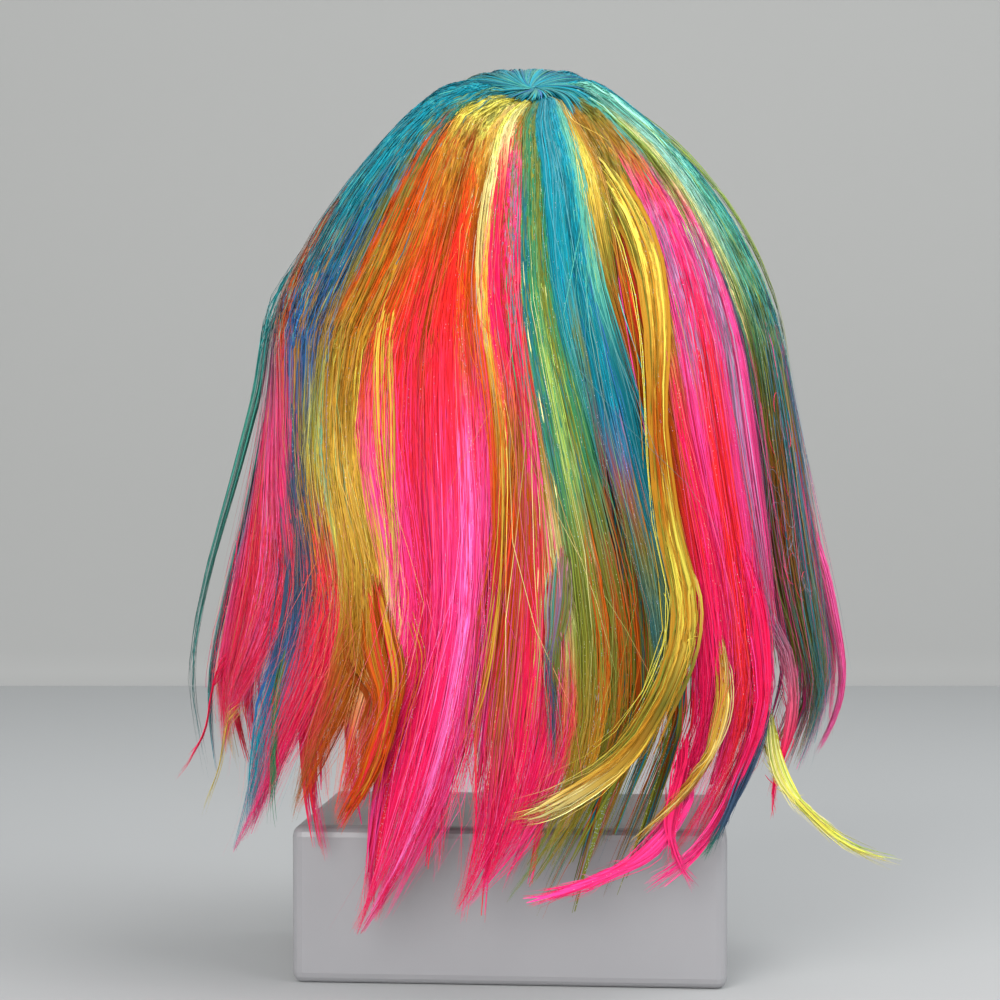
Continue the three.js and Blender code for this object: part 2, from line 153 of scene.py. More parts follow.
# Loose locks over the others: slot, thickness, fibres, and the route as level, bearing, rise and width
ROUTE_COLUMNS = ("level", "bearing", "rise", "width")
LOOSE_COLUMNS = ("name", "slot", "thickness", "fibres", "route")
LOOSE_LOCKS = [dict(zip(LOOSE_COLUMNS, row)) for row in [
    ("yellow_s_lock", "hair_yellow", 4, 850, (
        (1.7, 27, -0.5, 3), (3, 27.5, 0, 6), (4, 29, 0, 8), (5, 27.5, 0, 6), (6, 25, 0, 5), (7, 25.3, 0, 10),
        (8, 27.5, 0.5, 13), (9, 21, 1, 12), (9.6, 15, 1.5, 13), (10.05, 5, 1, 13), (10.2, -2, 0, 4))),
    ("pink_strand_right", "hair_pink", 3, 260, (
        (6.6, 39, 0, 4), (7.8, 44, 0, 6), (8.5, 44.5, 0, 7), (9.9, 43, 0, 7), (10.6, 37.5, 1, 6),
        (11.1, 26, 2, 2))),
    ("cream_strand_right", "hair_cream", 3, 140, (
        (8, 35.5, -1, 2), (9.1, 35, 0, 4), (9.8, 32, 0, 4), (10.6, 20, 1, 1.5))),
    ("pink_arc_hem", "hair_coral", 3, 230, (
        (9.9, 35.5, -2.5, 3), (10.6, 26.5, 0, 5), (11, 14, 0, 4.5), (11.25, 1, 0, 1.5))),
    ("yellow_flick_right", "hair_yellow", 3, 150, (
        (8.9, 50, -8.2, 3), (9.5, 50, 1, 4), (9.95, 54, 12, 5), (10.28, 60, 31, 4), (10.35, 67, 48, 1.5))),
    ("blue_strand_back", "hair_blue", 3, 140, (
        (7, 5.5, -2.6, 3), (7.8, 4.5, 0, 6), (8.6, 3.5, 0, 6), (9.6, 5, 0, 2))),
    ("orange_lock_left", "hair_orange", 4, 460, (
        (7.3, -32, -1.6, 6), (8.2, -26.5, -0.5, 11), (8.9, -23.5, 0, 12), (9.7, -28, 0, 12),
        (10.4, -37, 1, 4))),
    ("teal_strand_left", "hair_teal", 3, 120, (
        (5.4, -80, -0.6, 3), (6.8, -80, -0.6, 4), (8, -81, 0, 4), (9, -82, 0, 4), (9.9, -80, 4, 2))),
]]

# Thin wisps that leave the locks: piece, thickness, fibres, colours by share of the length, and route
WISP_COLUMNS = ("name", "thickness", "fibres", "stops", "route")
WISPS = [dict(zip(WISP_COLUMNS, row)) for row in [
    ("teal_strand_left", 10, 60, {0: "turquoise", 0.35: "sea", 1: "slate"}, (
        (4, -86, 0, 8), (5.4, -90, 1, 8), (6.4, -90, 4, 7), (8, -90, 8, 5), (9.4, -90, 6.6, 4),
        (10, -88, 8, 3))),
    ("pink_side_left", 1.5, 26, {0: "hot_pink"}, (
        (8.4, -70, 0, 3), (9.3, -79, 3, 2), (9.7, -86, 12, 2), (9.9, -88, 22, 1))),
    ("teal_left", 1, 14, {0: "gold", 1: "lemon"}, (
        (9, -64, 0, 4), (9.8, -72, 5, 2), (10.4, -84, 16, 0.8))),
    ("yellow_left", 1, 36, {0: "olive", 0.5: "emerald"}, (
        (8.2, -46, 0, 5), (9.4, -49, 1, 5), (10.45, -55, 3, 5))),
    ("pink_right_inner", 1.5, 110, {0: "hot_pink", 1: "magenta"}, (
        (9.3, 30, 0, 4), (10.05, 29.5, 0.5, 5), (10.45, 30, 1, 5), (10.85, 34, 2, 4), (11.15, 39, 3, 2))),
    ("pink_right_outer", 1.5, 100, {0.6: "slate", 1: "emerald"}, (
        (8.8, 46, 0, 5), (9.8, 44, 1, 7), (10.4, 41, 2, 7), (10.75, 38, 3, 4))),
    ("lilac_right", 1.5, 90, {0: "grey_lilac", 0.5: "hot_pink"}, (
        (8, 51, 0, 5), (9.2, 53, 1, 7), (9.9, 54, 2, 8), (10.3, 56, 4, 7))),
    # The far pink lock is lightened with painted sheen where it lies in shade
    ("pink_side_right", 6, 600, {0: "magenta", 0.25: "painted_sheen_pink"}, (
        (6.8, 76, -3, 8), (7.8, 78, 0, 14), (8.6, 78, 0.5, 14), (9.2, 77, 0.5, 10), (9.7, 76, 0, 4))),
    ("teal_right", 4, 24, {0: "olive", 0.4: "lime", 1: "olive"}, (
        (1.2, 66, -2, 10), (2.4, 78, 0, 20), (3.6, 81, 1, 24), (4.8, 82, 1, 24), (6.4, 82, -1, 16))),
    ("coral_left", 1.5, 26, {0: "cream", 0.6: "gold", 1: "ochre"}, (
        (2, -14, -0.5, 2), (4, -12.5, 0, 2), (6, -6, 0, 3), (8, -6, 0, 4), (9.5, -10, 0, 3))),
    ("orange_left", 1.5, 24, {0.5: "gold", 1: "cream"}, (
        (4.2, -31, 0, 5), (6, -30, 0, 7), (7.4, -25, 0, 8), (8.6, -24, 0, 6))),
]]

# Curled fibres: piece, number, colours, and the limits of their levels, bearings and radii
CURL_COLUMNS = ("name", "fibres", "colours", "levels", "bearings", "radii")
CURLS = [dict(zip(CURL_COLUMNS, row)) for row in [
    ("pink_side_left", 70, ("coral", "magenta", "hot_pink"), (7.3, 8.9), (-88, -70), (5, 13)),
    ("lime_right", 60, ("rust", "rust", "grey_lilac", "hot_pink"), (6, 7.8), (54, 66), (3, 7)),
]]

# Colours of the fibres, in sRGB
PALETTE = {
    "hot_pink": (244, 30, 88),
    "magenta": (248, 66, 142),
    # A lighter pink, mixed into the pink locks as a painted sheen for their soft highlights and to lighten
    # pink that lies in shade
    "painted_sheen_pink": (253, 106, 174),
    "coral": (244, 46, 66),
    "red": (236, 44, 38),
    "orange": (210, 76, 20),
    "rust": (172, 74, 20),
    "ochre": (178, 124, 36),
    "gold": (214, 170, 64),
    "lemon": (224, 212, 84),
    "cream": (234, 224, 150),
    "lime": (152, 176, 80),
    "olive": (114, 118, 42),
    "emerald": (46, 126, 86),
    "sea": (84, 174, 154),
    "turquoise": (24, 144, 162),
    "teal": (18, 104, 116),
    "slate": (58, 78, 102),
    "blue": (44, 102, 164),
    "lilac": (166, 124, 164),
    "grey_lilac": (136, 120, 138),
    "violet": (130, 84, 168),
    "aqua": (156, 216, 198),
    "pale_blue": (196, 228, 250),
    "pale_violet": (228, 196, 246),
    "pale_gold": (255, 242, 200),
}

# Colours of each lock: its bands from left to right, each with its right edge by level, -1 to 1 across the
# lock, and its colours by level, then the colours mixed in, as colour, share, and lowest and highest level.
# The last band has the rest of the lock.
REST = None
# The lighter pink mixed into some pink locks is a painted sheen
LOOKS = {
    "pink_front_left": ((
        (REST, {0: "turquoise", 3: "sea", 5: "magenta", 9: "hot_pink"}),),
        (("coral", 0.2, 4, 12), ("gold", 0.08, 4, 12))),
    "teal_side_left": ((
        (REST, {4: "turquoise", 6: "teal", 9.6: "turquoise"}),),
        (("slate", 0.15, 3, 12), ("emerald", 0.12, 3, 12), ("magenta", 0.06, 5, 12))),
    "yellow_side_left": ((
        (REST, {3: "turquoise", 4.6: "lime", 6: "lemon", 9.9: "gold"}),),
        (("cream", 0.18, 4, 12), ("ochre", 0.15, 4, 12), ("olive", 0.08, 4, 12))),
    "pink_side_left": ((
        ({0: -0.2, 6: -0.4, 8: -0.1, 9: 0.2},
         {3.6: "turquoise", 4.6: "sea", 6: "slate", 7: "lilac", 8: "magenta", 9.6: "coral"}),
        (REST, {3.4: "turquoise", 4.2: "rust", 5.4: "slate", 6.2: "magenta", 7.2: "coral",
                9.6: "hot_pink"})),
        (("sea", 0.1, 3, 7), ("slate", 0.1, 4.5, 7), ("painted_sheen_pink", 0.15, 6, 10), ("hot_pink", 0.2, 6, 10),
         ("gold", 0.04, 5, 9))),
    "teal_left": ((
        ({3: -1.2, 4: -0.5, 5: -0.35, 6: 0, 6.5: -0.2, 7: -0.7, 8: -1.2},
         {3: "teal", 4: "rust", 5: "rust", 5.6: "coral", 6.3: "magenta", 7.2: "coral"}),
        ({1: 0.9, 3: 0.9, 5: 0.65, 6: 0.5, 6.5: 0.5, 7: 0.45, 8: 0, 9: -0.2, 10.6: 0.1},
         {3: "turquoise", 4.2: "teal", 5: "blue", 5.8: "slate", 8.2: "slate", 8.8: "blue",
          9.4: "turquoise"}),
        (REST, {0: "sea", 2: "olive", 4: "olive", 5: "ochre", 5.8: "olive", 6.4: "lemon", 7: "ochre",
                7.7: "coral", 9.4: "hot_pink", 10.4: "magenta"})),
        (("olive", 0.1, 1.5, 5), ("sea", 0.12, 1, 5.5), ("blue", 0.06, 3, 6), ("violet", 0.04, 4.5, 8),
         ("ochre", 0.05, 4, 8), ("turquoise", 0.1, 8.5, 11))),
    "yellow_left": ((
        ({0: -0.4, 2: 0.3, 3: 0.1, 4: -0.3, 6: -0.5, 8: -0.6, 9: -0.1},
         {0: "lime", 1.4: "emerald", 2.2: "teal", 3: "olive", 3.8: "olive", 4.6: "ochre", 5.6: "lime",
          6.4: "sea", 7.2: "lemon", 8.2: "ochre", 9: "coral", 10.3: "olive"}),
        (REST, {1.7: "lemon", 2.3: "ochre", 3.6: "orange", 4.2: "ochre", 5.8: "ochre", 6.4: "gold",
                7.2: "gold", 7.8: "ochre", 9.1: "rust", 10.3: "orange"})),
        (("orange", 0.15, 2, 5), ("olive", 0.15, 1.5, 7), ("lemon", 0.15, 5, 8), ("ochre", 0.15, 4, 11),
         ("rust", 0.08, 7.5, 11))),
    "orange_left": ((
        ({3: -0.5, 5: -0.35, 6: -0.25, 7: -0.6, 8: -0.3, 9: 0},
         {1.7: "lemon", 2.3: "ochre", 3.6: "ochre", 4.4: "rust", 5: "orange", 5.8: "orange", 6.3: "magenta",
          6.9: "gold", 7.6: "gold", 8.4: "cream", 9.2: "orange"}),
        (REST, {1.7: "lemon", 2.3: "ochre", 3.1: "ochre", 3.8: "orange", 4.6: "red", 5.6: "red",
                6.2: "coral", 7: "magenta", 9: "hot_pink"})),
        (("olive", 0.3, 0, 2), ("rust", 0.4, 2, 5.5), ("ochre", 0.06, 3, 5), ("magenta", 0.25, 5.5, 12),
         ("coral", 0.15, 4.5, 9))),
    "coral_left": ((
        ({0: 0.3, 6: 0.2, 8: 0},
         {1.9: "lemon", 2.5: "ochre", 3.2: "orange", 4: "red", 4.9: "red", 5.4: "coral", 6.4: "coral",
          7.2: "magenta", 8.6: "hot_pink"}),
        (REST, {0: "cream", 2: "gold", 2.8: "ochre", 3.8: "rust", 4.6: "orange", 5.2: "rust", 6: "coral",
                7: "magenta", 8: "magenta", 10: "hot_pink"})),
        (("olive", 0.35, 0, 2), ("rust", 0.15, 2.5, 4.2), ("coral", 0.2, 4.4, 8),
         ("magenta", 0.25, 5.4, 12), ("painted_sheen_pink", 0.15, 6, 12))),
    "cream_left": ((
        ({0: 0.1, 6: 0.1},
         {2: "lemon", 3: "cream", 4: "gold", 5: "gold", 6: "ochre", 7: "rust", 8: "coral"}),
        (REST, {0: "lemon", 2: "cream", 2.8: "coral", 4: "hot_pink", 5.2: "hot_pink", 6: "ochre",
                7: "orange", 8: "coral"})),
        (("olive", 0.35, 0, 4), ("grey_lilac", 0.12, 3, 7), ("orange", 0.12, 4, 8),
         ("hot_pink", 0.12, 4, 8))),
    "pink_back": ((
        ({0: -0.1, 5: -0.2, 7: -0.4, 8: -0.65, 10: -0.6},
         {0: "lemon", 1.9: "cream", 2.4: "coral", 3: "magenta", 4: "hot_pink", 5.4: "hot_pink",
          6.2: "ochre", 7: "orange", 8.2: "orange", 9: "ochre", 9.8: "hot_pink"}),
        ({0: 0.6, 4: 0.8, 6: 0.4, 8: 0.1, 9: 0.5},
         {0: "olive", 1.9: "ochre", 2.5: "coral", 3: "magenta", 4.4: "hot_pink", 5.8: "hot_pink",
          6.4: "magenta", 7: "rust", 7.8: "coral", 9: "hot_pink"}),
        (REST, {3.4: "olive", 4: "hot_pink", 5.4: "red", 6: "olive", 6.8: "ochre", 7.6: "cream",
                8.2: "lime", 9: "coral", 11.4: "magenta"})),
        (("olive", 0.15, 0, 4), ("coral", 0.1, 3, 6), ("rust", 0.12, 3, 6), ("ochre", 0.04, 5.5, 10),
         ("magenta", 0.2, 3, 12), ("painted_sheen_pink", 0.12, 6, 12), ("grey_lilac", 0.1, 2.5, 5.5))),
    "lime_back": ((
        ({0: -0.1, 8: 0},
         {0: "emerald", 1.6: "olive", 3.6: "olive", 4.6: "emerald", 5.4: "lime", 6.6: "lime", 7.2: "olive",
          8.6: "olive", 9.4: "ochre", 10.4: "olive", 11.2: "emerald"}),
        (REST, {0: "turquoise", 1.5: "emerald", 3.6: "emerald", 4.9: "lime", 6: "lime", 6.7: "emerald",
                7.3: "rust", 8.6: "rust", 9.4: "ochre", 11.2: "olive"})),
        (("emerald", 0.28, 1, 7), ("olive", 0.2, 1, 11), ("cream", 0.06, 4, 8), ("teal", 0.06, 3, 7),
         ("rust", 0.06, 6.5, 10))),
    "teal_centre_left": ((
        ({0: 0.1}, {5: "turquoise", 5.6: "sea", 6.2: "emerald"}),
        (REST, {4.6: "turquoise", 5.2: "olive", 5.8: "teal", 7: "rust"})),
        (("emerald", 0.12, 2, 7), ("sea", 0.2, 1, 6), ("blue", 0.1, 4, 7), ("teal", 0.15, 3, 7))),
    "teal_centre_right": ((
        ({0: -0.1}, {5.6: "turquoise", 6.2: "blue", 6.7: "rust", 7.2: "olive", 8.2: "teal", 9.1: "olive"}),
        ({0: 0.5, 4.4: 0.5, 4.8: 9},
         {3.8: "turquoise", 4.8: "teal", 7.2: "teal", 7.8: "olive", 9.1: "teal"}),
        (REST, {0: "turquoise", 0.9: "gold", 4.2: "gold", 4.8: "teal"})),
        (("teal", 0.2, 3, 6.2), ("sea", 0.12, 1, 5), ("blue", 0.1, 4, 6.5), ("lime", 0.06, 2, 5))),
    "yellow_centre": ((
        ({0: 0.1}, {2: "gold", 2.6: "lemon", 3.6: "gold", 4.4: "olive", 5: "rust"}),
        (REST, {0: "gold", 2: "ochre", 3: "ochre", 4: "olive", 5: "rust"})),
        (("olive", 0.2, 1.5, 6), ("cream", 0.04, 2, 4), ("rust", 0.12, 4, 6))),
    "pink_right_inner": ((
        ({0: 0.1, 6: 0},
         {0: "gold", 2: "ochre", 3: "olive", 3.8: "orange", 4.4: "red", 5.4: "rust", 6.4: "rust", 7: "red",
          8: "hot_pink"}),
        (REST, {0: "olive", 2.4: "ochre", 3.2: "ochre", 4: "gold", 5: "ochre", 5.8: "hot_pink",
                8: "hot_pink", 10.7: "magenta"})),
        (("olive", 0.15, 1.5, 4), ("gold", 0.12, 2, 5), ("rust", 0.12, 3.5, 7), ("magenta", 0.2, 6, 11))),
    "pink_right_outer": ((
        ({0: 0.3},
         {0: "sea", 1.6: "olive", 2.8: "ochre", 3.3: "coral", 3.8: "magenta", 4.6: "hot_pink",
          6: "hot_pink", 8.6: "red", 10.9: "hot_pink"}),
        (REST, {2.2: "sea", 3.1: "olive", 3.7: "magenta", 4.3: "lilac", 5: "magenta", 6: "hot_pink",
                8: "magenta", 8.8: "slate", 9.6: "hot_pink"})),
        (("ochre", 0.1, 1.5, 3.5), ("lilac", 0.3, 3.5, 5.8), ("red", 0.1, 5, 10),
         ("magenta", 0.28, 3, 11))),
    "lilac_right": ((
        ({0: 0.1},
         {0: "turquoise", 1.6: "sea", 2.4: "lime", 3: "olive", 3.6: "lime", 4.2: "lilac", 5.4: "grey_lilac",
          6.4: "lilac", 8.3: "grey_lilac"}),
        (REST, {0: "turquoise", 1.6: "lime", 4: "lime", 4.6: "magenta", 6: "magenta", 7: "grey_lilac",
                8.3: "rust"})),
        (("olive", 0.1, 1, 4), ("cream", 0.06, 2, 4.5), ("magenta", 0.25, 3.5, 9), ("slate", 0.1, 4, 9))),
    "lime_right": ((
        ({0: 0},
         {0: "turquoise", 1.6: "sea", 2.4: "aqua", 3.4: "aqua", 4.4: "lime", 5.4: "olive", 6.4: "rust"}),
        (REST, {0: "sea", 2: "aqua", 4: "aqua", 5: "emerald", 6.4: "olive"})),
        (("olive", 0.12, 1, 5), ("cream", 0.15, 2, 5), ("turquoise", 0.1, 1, 5),
         ("emerald", 0.12, 3, 6.4))),
    "teal_right": ((
        ({0: -0.3, 5: -0.3, 6: -0.1, 8: 0, 9: -0.1},
         {0: "sea", 2: "aqua", 3.8: "sea", 4.6: "emerald", 5.6: "olive", 6.2: "olive", 7: "rust",
          8: "olive", 9: "olive", 9.8: "teal"}),
        ({7.2: 1.4, 7.8: 0.55, 9.8: 0.45},
         {4.6: "turquoise", 5.4: "teal", 6.4: "blue", 7: "teal", 8.2: "teal", 9: "turquoise"}),
        (REST, {7: "magenta", 8: "painted_sheen_pink"})),
        (("sea", 0.15, 1, 5), ("lime", 0.18, 2, 5), ("blue", 0.1, 4.5, 8), ("olive", 0.05, 4, 10),
         ("teal", 0.15, 5, 10), ("rust", 0.04, 5.5, 10), ("magenta", 0.03, 5, 10))),
    "pink_side_right": ((
        (REST, {0: "sea", 2: "lime", 4: "sea", 5.4: "teal", 6.4: "slate", 7.2: "magenta"}),),
        (("aqua", 0.15, 1, 5), ("sea", 0.1, 3, 7), ("magenta", 0.2, 6, 10))),
    "yellow_side_right": ((
        (REST, {0: "turquoise", 2: "sea", 4: "lemon", 9.9: "gold"}),),
        (("cream", 0.18, 4, 12), ("ochre", 0.15, 4, 12), ("olive", 0.08, 4, 12))),
    "fringe_teal_right": ((
        (REST, {4: "turquoise", 6.1: "teal"}),),
        (("emerald", 0.15, 2, 12), ("blue", 0.15, 2, 12), ("cream", 0.04, 3, 12))),
    "fringe_pink_right": ((
        (REST, {1.2: "turquoise", 2: "coral", 3: "magenta", 5.8: "hot_pink"}),),
        (("coral", 0.2, 3, 12), ("lilac", 0.1, 3, 12))),
    "fringe_yellow_right": ((
        (REST, {1.2: "turquoise", 2.4: "lemon", 6: "gold"}),),
        (("cream", 0.2, 3, 12), ("ochre", 0.15, 3, 12), ("orange", 0.06, 3, 12))),
    "fringe_pink_middle": ((
        (REST, {1.2: "turquoise", 2: "orange", 3: "coral", 5.8: "hot_pink"}),),
        (("magenta", 0.2, 3, 12), ("gold", 0.08, 3, 12))),
    "fringe_teal_left": ((
        (REST, {4: "turquoise", 6: "teal"}),),
        (("emerald", 0.15, 2, 12), ("blue", 0.15, 2, 12), ("cream", 0.04, 3, 12))),
    "fringe_yellow_left": ((
        (REST, {1.2: "turquoise", 2.4: "lemon", 6.1: "gold"}),),
        (("cream", 0.2, 3, 12), ("ochre", 0.15, 3, 12), ("orange", 0.06, 3, 12))),
}
LOOKS["teal_side_right"] = LOOKS["teal_side_left"]
LOOKS["pink_front_right"] = LOOKS["pink_front_left"]

# Colours along each loose lock, as share of its length and colour, then the colours mixed in
LOOSE_LOOKS = {
    "yellow_s_lock": ({0: "olive", 0.06: "gold", 0.12: "lemon", 0.24: "gold", 0.3: "gold", 0.34: "ochre",
        0.41: "rust", 0.45: "rust", 0.49: "ochre", 0.53: "lemon", 0.57: "lemon", 0.62: "gold",
        0.66: "olive", 0.72: "ochre", 0.8: "gold", 0.9: "cream", 1: "gold"}, (("lemon", 0.1),
        ("ochre", 0.2), ("olive", 0.12))),
    "pink_strand_right": ({0.5: "hot_pink", 1: "magenta"}, (("magenta", 0.3),)),
    "cream_strand_right": ({0: "ochre", 0.4: "gold", 1: "ochre"}, (("cream", 0.2), ("rust", 0.25))),
    "pink_arc_hem": ({0: "magenta", 1: "hot_pink"}, (("magenta", 0.3),)),
    "yellow_flick_right": ({0: "olive", 0.35: "lemon"}, (("cream", 0.2), ("lime", 0.5))),
    "blue_strand_back": ({0: "rust", 0.3: "grey_lilac", 0.7: "slate"}, (("hot_pink", 0.3), ("sea", 0.1),
        ("olive", 0.15))),
    "orange_lock_left": ({0.25: "ochre", 0.45: "rust", 0.7: "orange"}, (("rust", 0.2), ("ochre", 0.15),
        ("coral", 0.1))),
    "teal_strand_left": ({0.5: "sea", 1: "slate"}, (("slate", 0.35), ("turquoise", 0.1))),
}

# Under hair: colours mixed in, by sector of bearings
UNDER_SECTORS = (
    (-180, -96, ("hot_pink", "magenta", "turquoise", "gold")),
    (-96, -52, ("coral", "hot_pink", "magenta", "coral")),
    (-52, 10, ("hot_pink", "magenta", "coral", "magenta")),
    (10, 30, ("rust", "olive", "teal", "olive")),
    (30, 52, ("hot_pink", "hot_pink", "red", "magenta")),
    (52, 84, ("magenta", "grey_lilac", "rust", "olive")),
    (84, 180, ("hot_pink", "magenta", "turquoise", "gold")),
)

# Steps for slopes of the outer form, and the least lengths of a degree, near the middle of the whorl, and of
# a vector
LEVEL_STEP = 0.05
BEARING_STEP = 1
LEAST_DEGREE = 0.05
LEAST_VECTOR = 1e-9

# Colours mixed in: the reach of the clumps' and the strands' draws, their weight and how softly they begin
# and end. Then the spread of tones, the painted shade that darkens strands deeper inside a lock, and the
# limits of all colours.
CLUMP_MIX_SHARE = 0.75
STRAND_MIX_SHARE = 0.45
MIX_WEIGHT = 0.9
MIX_BLEND = 0.5
CLUMP_TONE = 0.12
STRAND_TONE = 0.11
STREAK_TONES = 0.75, 1.15
INNER_PAINTED_SHADE = 0.25
DARKEST, LIGHTEST = 0.004, 0.95

# Waves along the strands: turns on a length, and the part of it on which they grow
WAVE_TURNS = 0.6, 1.5
WAVE_GROWTH = 0.4, 1

# How far strips lean to one side, in radians, and how much their widths differ
LOCK_LEAN, LOOSE_LEAN, WHORL_LEAN = 0.4, 0.6, 0.1
WIDTH_SPREAD = 0.25

# Levels at which a lock is measured, and the least width and share of it that are reckoned with
PROFILE_LEVELS = np.linspace(0, 12.5, 101)
LEAST_ARC = 0.01
LEAST_KEPT = 0.3

# Twist of all hair at the whorl, in degrees, and the levels on which it dies away
WHORL_TWIST = 45
WHORL_TWIST_LEVELS = 0.4

# Strands in a lock: their spread over it, clumps, wander, tips and ends
LOCK_OVERLAP = 1.12
WIDTH_LEVELS = 4, 6, 8, 9
RIBBON_DEPTHS = 0.15, 1
FIBRE_DEPTH_POWER = 3
BAND_JITTER = 0.17
LEVEL_JITTER = 0.2
CLUMP_WIDTH = 3.4
CLUMP_JITTER = 0.08
CLUMP_GATHER = 0.55
CLUMP_LEVELS = 3
WANDER_SHARE = 0.25
FAR_WANDER, NEAR_WANDER = 0.65, 0.12
EDGE_FILL = 0.6
TIP_SLIMNESS = 0.45
TIP_SLIM_LEVELS = 2.4
CLUMP_END_LEVELS = 0.5
CLUMP_END_TURN = 2.4
SWEPT_LOCK_LEVEL = 10
TIP_SWEEP = 9
TIP_SWEEP_LEVELS = 1.6
TIP_SWEEP_TURN = 3.9
START_LEVELS = 0.08, 0.5
END_OVERRUN = 0.1
END_POWER = 1.3
SHORT_LOCK_LEVEL = 8.5
SHORT_FADE, LONG_FADE = 2.8, 2
REACH_LEVELS = 11
INNER_DEPTH = 0.85
CLUMP_SWING, STRAND_SWING = (0.25, 1.6), (0.15, 0.6)
CLUMP_LIFT, STRAND_LIFT = (0.1, 0.7), (0.03, 0.2)

# Strands that stray over the neighbours, and fine ones that stand off
RIBBON_VEIL_SHARE, FIBRE_VEIL_SHARE = 0.04, 0.1
VEIL_DEEPEST = 0.5
VEIL_REACH = 1.2, 2.2
STRAY_SHARE = 0.045
STRAY_LIFT, STRAY_SWING = (1, 5), (1.5, 6)
STRAY_PALENESS = 0.08
STRAY_WIDTH = 0.6

# Strands of loose locks and wisps: where they leave the hair and end, how they spread, sink and fray
LOOSE_RIBBON_SHARE = 0.08
LOOSE_START_SHARES = np.linspace(0, 0.7, 50)
LOOSE_START_JITTER = 0.12
LOOSE_END, LOOSE_END_SPREAD, LOOSE_END_POWER = 1.01, 0.5, 0.7
LOOSE_ROOT_DEPTH = 4.5
LOOSE_ROOT_SHARE = 0.2
LOOSE_UPPER_DEPTH = 0.3
LOOSE_UPPER_SPREAD = 1.2
LOOSE_FRAY = 1.4
LOOSE_FRAY_SHARES = 0.6, 1
LOOSE_UPPER_SHARES = 0.3, 0.55
LOOSE_CLUMPS = 10
LOOSE_SPREAD = 0.25
LOOSE_APART_SHARE = 0.1
LOOSE_APART = 2.2
LOOSE_FLATNESS = 0.45
LOOSE_SINK = 0.6
LOOSE_INNER_DEPTH = 0.9
LOOSE_CLUMP_SWING, LOOSE_STRAND_SWING = (0.2, 0.7), (0.1, 0.4)
LOOSE_LIFT = 0.05, 0.4
LOOSE_COLOUR_JITTER = 0.02
LEAST_BREADTH = 0.5
ROUTE_STEP = 0.01

# Curls: how much taller than wide, their share of a fibre's width, radians of turn, millimetres that they
# stand off, and millimetres to a level
CURL_STRETCH = 1.5
CURL_WIDTH = 0.4
CURL_TURN = 2, 4.5
CURL_LIFT = 0, 3
LEVEL_LENGTH = 36

# Strands of the under hair: their numbers, places, clumps, ends and swing, and the wall of hair behind them
UNDER_RIBBONS = 900
UNDER_FIBRES = 3000
UNDER_STRAND_DEPTH = 2.4
UNDER_CLUMP = 3.5
UNDER_RIBBON_WIDTH = 1.4
UNDER_BACK_SHARE = 0.72
UNDER_BACK_BEARINGS = -100, 100
UNDER_START_SHARES = 0.2, 0.7
UNDER_CLUMP_SWING, UNDER_STRAND_SWING = (0.4, 3), (0.2, 1.2)
UNDER_CLUMP_LIFT, UNDER_STRAND_LIFT = (0.1, 0.8), (0.05, 0.3)
HEM_OVERRUN, HEM_FADE = 0.4, 1.1
HEM_SWEEP = 20
HEM_SWEEP_SPREAD = 0.4, 1.6
HEM_SWEEP_LEVEL = 9
TUFT_LEVELS = 1.3
TUFT_TURN = 2.1
BODY_COLUMNS = 200
BODY_ROWS = 26
BODY_OUTER_DEPTH = 8.8
BODY_INNER_DEPTH = 10.6
BODY_RIDGE = 0.45
BODY_TOP_LEVEL = 0.05
BODY_HEM_RISE = 1.9
BODY_SWING, BODY_SWING_RATE, BODY_FOLDS = 2, 0.9, 5
# Painted shade on the wall of hair: its colours are darkened to this share, with tones that differ at random
BODY_PAINTED_SHADE, BODY_TONE_SPREAD = 0.6, 0.2
BODY_STREAKS = 0.4, 2.5

# Whorl: short fibres over the yellow roots and long ones elsewhere, and how deep they start and tuck in
WHORL_FIBRES = 1500
WHORL_FIBRE_WIDTH = 1.8
YELLOW_ROOT_BEARINGS = -55, 30
SHORT_WHORL_LEVELS = 0.15, 0.85
LONG_WHORL_LEVELS = 0.4, 1.7
WHORL_START_LEVEL = 0.02
WHORL_TOP_DEPTH, WHORL_DEPTH, WHORL_TUCK = 0.1, 2, 1.5
WHORL_MIX = (("sea", 0.3), ("blue", 0.06), ("teal", 0.12))

# Strips: their width along the length, their lean to and fro, and their places in the map, with margins
GIRTH_PLACES = 0, 0.08, 0.7, 1
GIRTHS = 0.5, 1, 1, 0.12
STRIP_TWIST = 0.15, 0.3
STRIPS_PER_COLUMN = 400
MARGIN_ALONG, MARGIN_ACROSS = 0.03, 0.1

# Names of the colour layers and of the map in the meshes
COLOUR_ATTRIBUTES = {"own": "hair_colour", "streak": "streak_colour", "glint": "painted_glint_colour"}
MAP_NAME = "OFBake"

# Materials: colours, sizes of patterns, and where the ramps of patterns begin and end
BLACK, WHITE = (0, 0, 0), (1, 1, 1)
STREAK_FROM, STREAK_FULL = 0.44, 0.62
# Ramp of the painted glints
GLINT_FULL, GLINT_TO = 0.07, 0.13
THREAD_TO, GAP_FROM = 0.04, 0.16
# The holes of the net are painted nearly black, a painted shade for the dark inside of the cap
NET_THREAD, NET_HOLE_SHADE = (0.09, 0.07, 0.08), (0.015, 0.012, 0.014)
NET_CELLS = 420
BOX_DARK, BOX_LIGHT = (0.28, 0.275, 0.285), (0.315, 0.31, 0.32)
BOX_NOISE = 14, 4
STAGE_NOISE = 1.5, 3
STAGE_SHADE = 0.97

# Floor and backdrop, in metres
STAGE_LEFT, STAGE_RIGHT = -2.4, 2.4
FLOOR_FRONT, FLOOR_BACK = -2.0, 1.32
BACKDROP_Y, BACKDROP_LOW, BACKDROP_HIGH = 1.5, -0.8, 2.2
FLOOR_COLOUR, BACKDROP_COLOUR = (0.5, 0.51, 0.51), (0.425, 0.425, 0.41)

